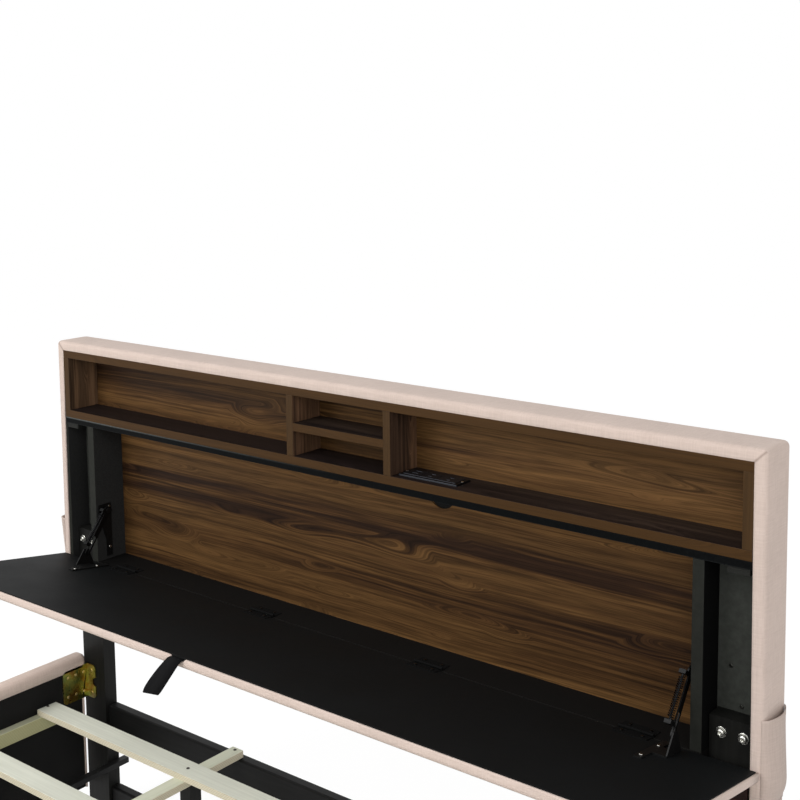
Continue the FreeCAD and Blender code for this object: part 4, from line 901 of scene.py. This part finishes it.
cut_at(cover, "z", *FLAP_STEPS, FLAP_HIGH - FLAP_HEM)
gone = [face for face in cover.faces if face.normal.z < -0.5
        or face.normal.y > 0.5 and abs(face.calc_center_median().x) < HALF_WIDTH - FLAP_HEM
        and face.calc_center_median().z < FLAP_HIGH - FLAP_HEM]
bmesh.ops.delete(cover, geom=gone, context="FACES")
round_off(cover, RIM_ROLL, lambda c: c.y > FLAP_IN - NEAR)
for vert in cover.verts:
    along = abs(vert.co.x) / HALF_WIDTH
    rise = abs(2.0 * (vert.co.z - FLAP_LOW) / (FLAP_HIGH - FLAP_LOW) - 1.0)
    if vert.co.y < FLAP_OUT + 0.004:
        vert.co.y -= FLAP_CROWN * max(0.0, (1.0 - along ** 8) * (1.0 - rise ** 4))
    under_strap = abs(vert.co.x - STRAP_X) < STRAP_WIDTH / 2 + PRESS_MARGIN
    if under_strap and vert.co.z > PRESS_LOW and vert.co.y > PRESS_Y:
        vert.co.y = PRESS_Y + (vert.co.y - PRESS_Y) * PRESS_SHARE
bmesh.ops.solidify(cover, geom=cover.faces[:], thickness=FLAP_HEM - 0.0005)
lay_cloth(cover)
bmesh.ops.transform(cover, matrix=swing, verts=cover.verts)
flap_linen = linen("flap_linen")
piece = new_piece("flap_cover_cloth", cover, flap_linen, "flap")
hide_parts("flap_cover")

# Pull strap: black webbing doubled back on itself, sewn under the flap's liner at the free edge; it
# bends over the edge and hangs in a long curve, its two layers a little apart.
STRAP_Y, BEND_R, SWEEP_R, LAYER_GAP, WEB_T = 1.0005, 0.014, 0.200, 0.0009, 0.0015
STRAP_LEAN, STRAP_TWIST, STRAP_CORNER, CORNER_SHARE = 0.004, 0.005, 0.0032, 0.14
STRAP_SEWN, STRAP_PARTING = 0.003, 0.0022
bend_turn, sweep_turn = math.radians(41.0), math.radians(17.5)
webbing = new_finish("black_webbing")
web_map = new_node(webbing, "UVMap")
web_map.uv_map = "cloth"
ribs = wave(webbing, web_map.outputs[0], "DIAGONAL", 260.0, 0.8)
ribbed = ramp(webbing, ribs, [(0.1, (0.0015, 0.0015, 0.0018)), (0.9, (0.007, 0.007, 0.0075))])
surface(webbing, ribbed, 0.7, 0.08, relief=bumped(webbing, ribs, 0.0003, 0.6))

bend_centre = Vector((0.0, STRAP_Y - BEND_R, FLAP_HIGH))
sweep_centre = bend_centre + (BEND_R - SWEEP_R) * Vector((0.0, math.cos(bend_turn), math.sin(bend_turn)))
end_turn = bend_turn + sweep_turn
tip = sweep_centre + SWEEP_R * Vector((0.0, math.cos(end_turn), math.sin(end_turn)))
strap = bmesh.new()
start = [strap.verts.new((STRAP_X + side * STRAP_WIDTH / 2, STRAP_Y + LAYER_GAP, FLAP_HIGH - STRAP_SEWN))
         for side in (-1, 1)]
edge = [strap.edges.new(start)]


def drawn_on(centre, angle, steps):
    """Draws the strap's end edge on round a centre and gives the rows of points that it passed."""
    before = set(strap.verts)
    done = bmesh.ops.spin(strap, geom=edge[0].verts[:] + edge, cent=centre, axis=(1.0, 0.0, 0.0),
                          angle=angle, steps=steps, use_merge=False, use_duplicate=False)
    edge[0] = [part for part in done["geom_last"] if isinstance(part, bmesh.types.BMEdge)][0]
    return [vert for vert in strap.verts if vert not in before]


straight = bmesh.ops.extrude_edge_only(strap, edges=edge)
edge[0] = [part for part in straight["geom"] if isinstance(part, bmesh.types.BMEdge)][0]
bmesh.ops.translate(strap, verts=edge[0].verts[:], vec=(0.0, 0.0, STRAP_SEWN))
drawn_on(bend_centre, bend_turn, 10)
drawn_on(sweep_centre, sweep_turn, 14)
drawn_on(tip, math.pi, 8)
for vert in drawn_on(sweep_centre, -sweep_turn, 14):
    radius = vert.co - Vector((vert.co.x, sweep_centre.y, sweep_centre.z))
    share = (math.atan2(radius.z, radius.y) - bend_turn) / sweep_turn
    vert.co -= radius.normalized() * STRAP_PARTING * math.sin(math.pi * share)
drawn_on(bend_centre, -bend_turn, 10)
for vert in strap.verts:
    share = (vert.co.z - FLAP_HIGH) / (tip.z - FLAP_HIGH)
    vert.co.z -= STRAP_TWIST * share * (vert.co.x - STRAP_X) / (STRAP_WIDTH / 2)
    corner = min(1.0, max(0.0, (share - 1.0 + CORNER_SHARE) / CORNER_SHARE))
    narrowed = 1.0 - STRAP_CORNER * (1.0 - math.sqrt(1.0 - corner * corner)) / (STRAP_WIDTH / 2)
    vert.co.x = STRAP_X + (vert.co.x - STRAP_X) * narrowed - STRAP_LEAN * share
bmesh.ops.solidify(strap, geom=strap.faces[:], thickness=WEB_T)
lay_cloth(strap)
bmesh.ops.transform(strap, matrix=swing, verts=strap.verts)
piece = new_piece("pull_strap_web", strap, webbing, "flap")
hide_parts("pull_strap")
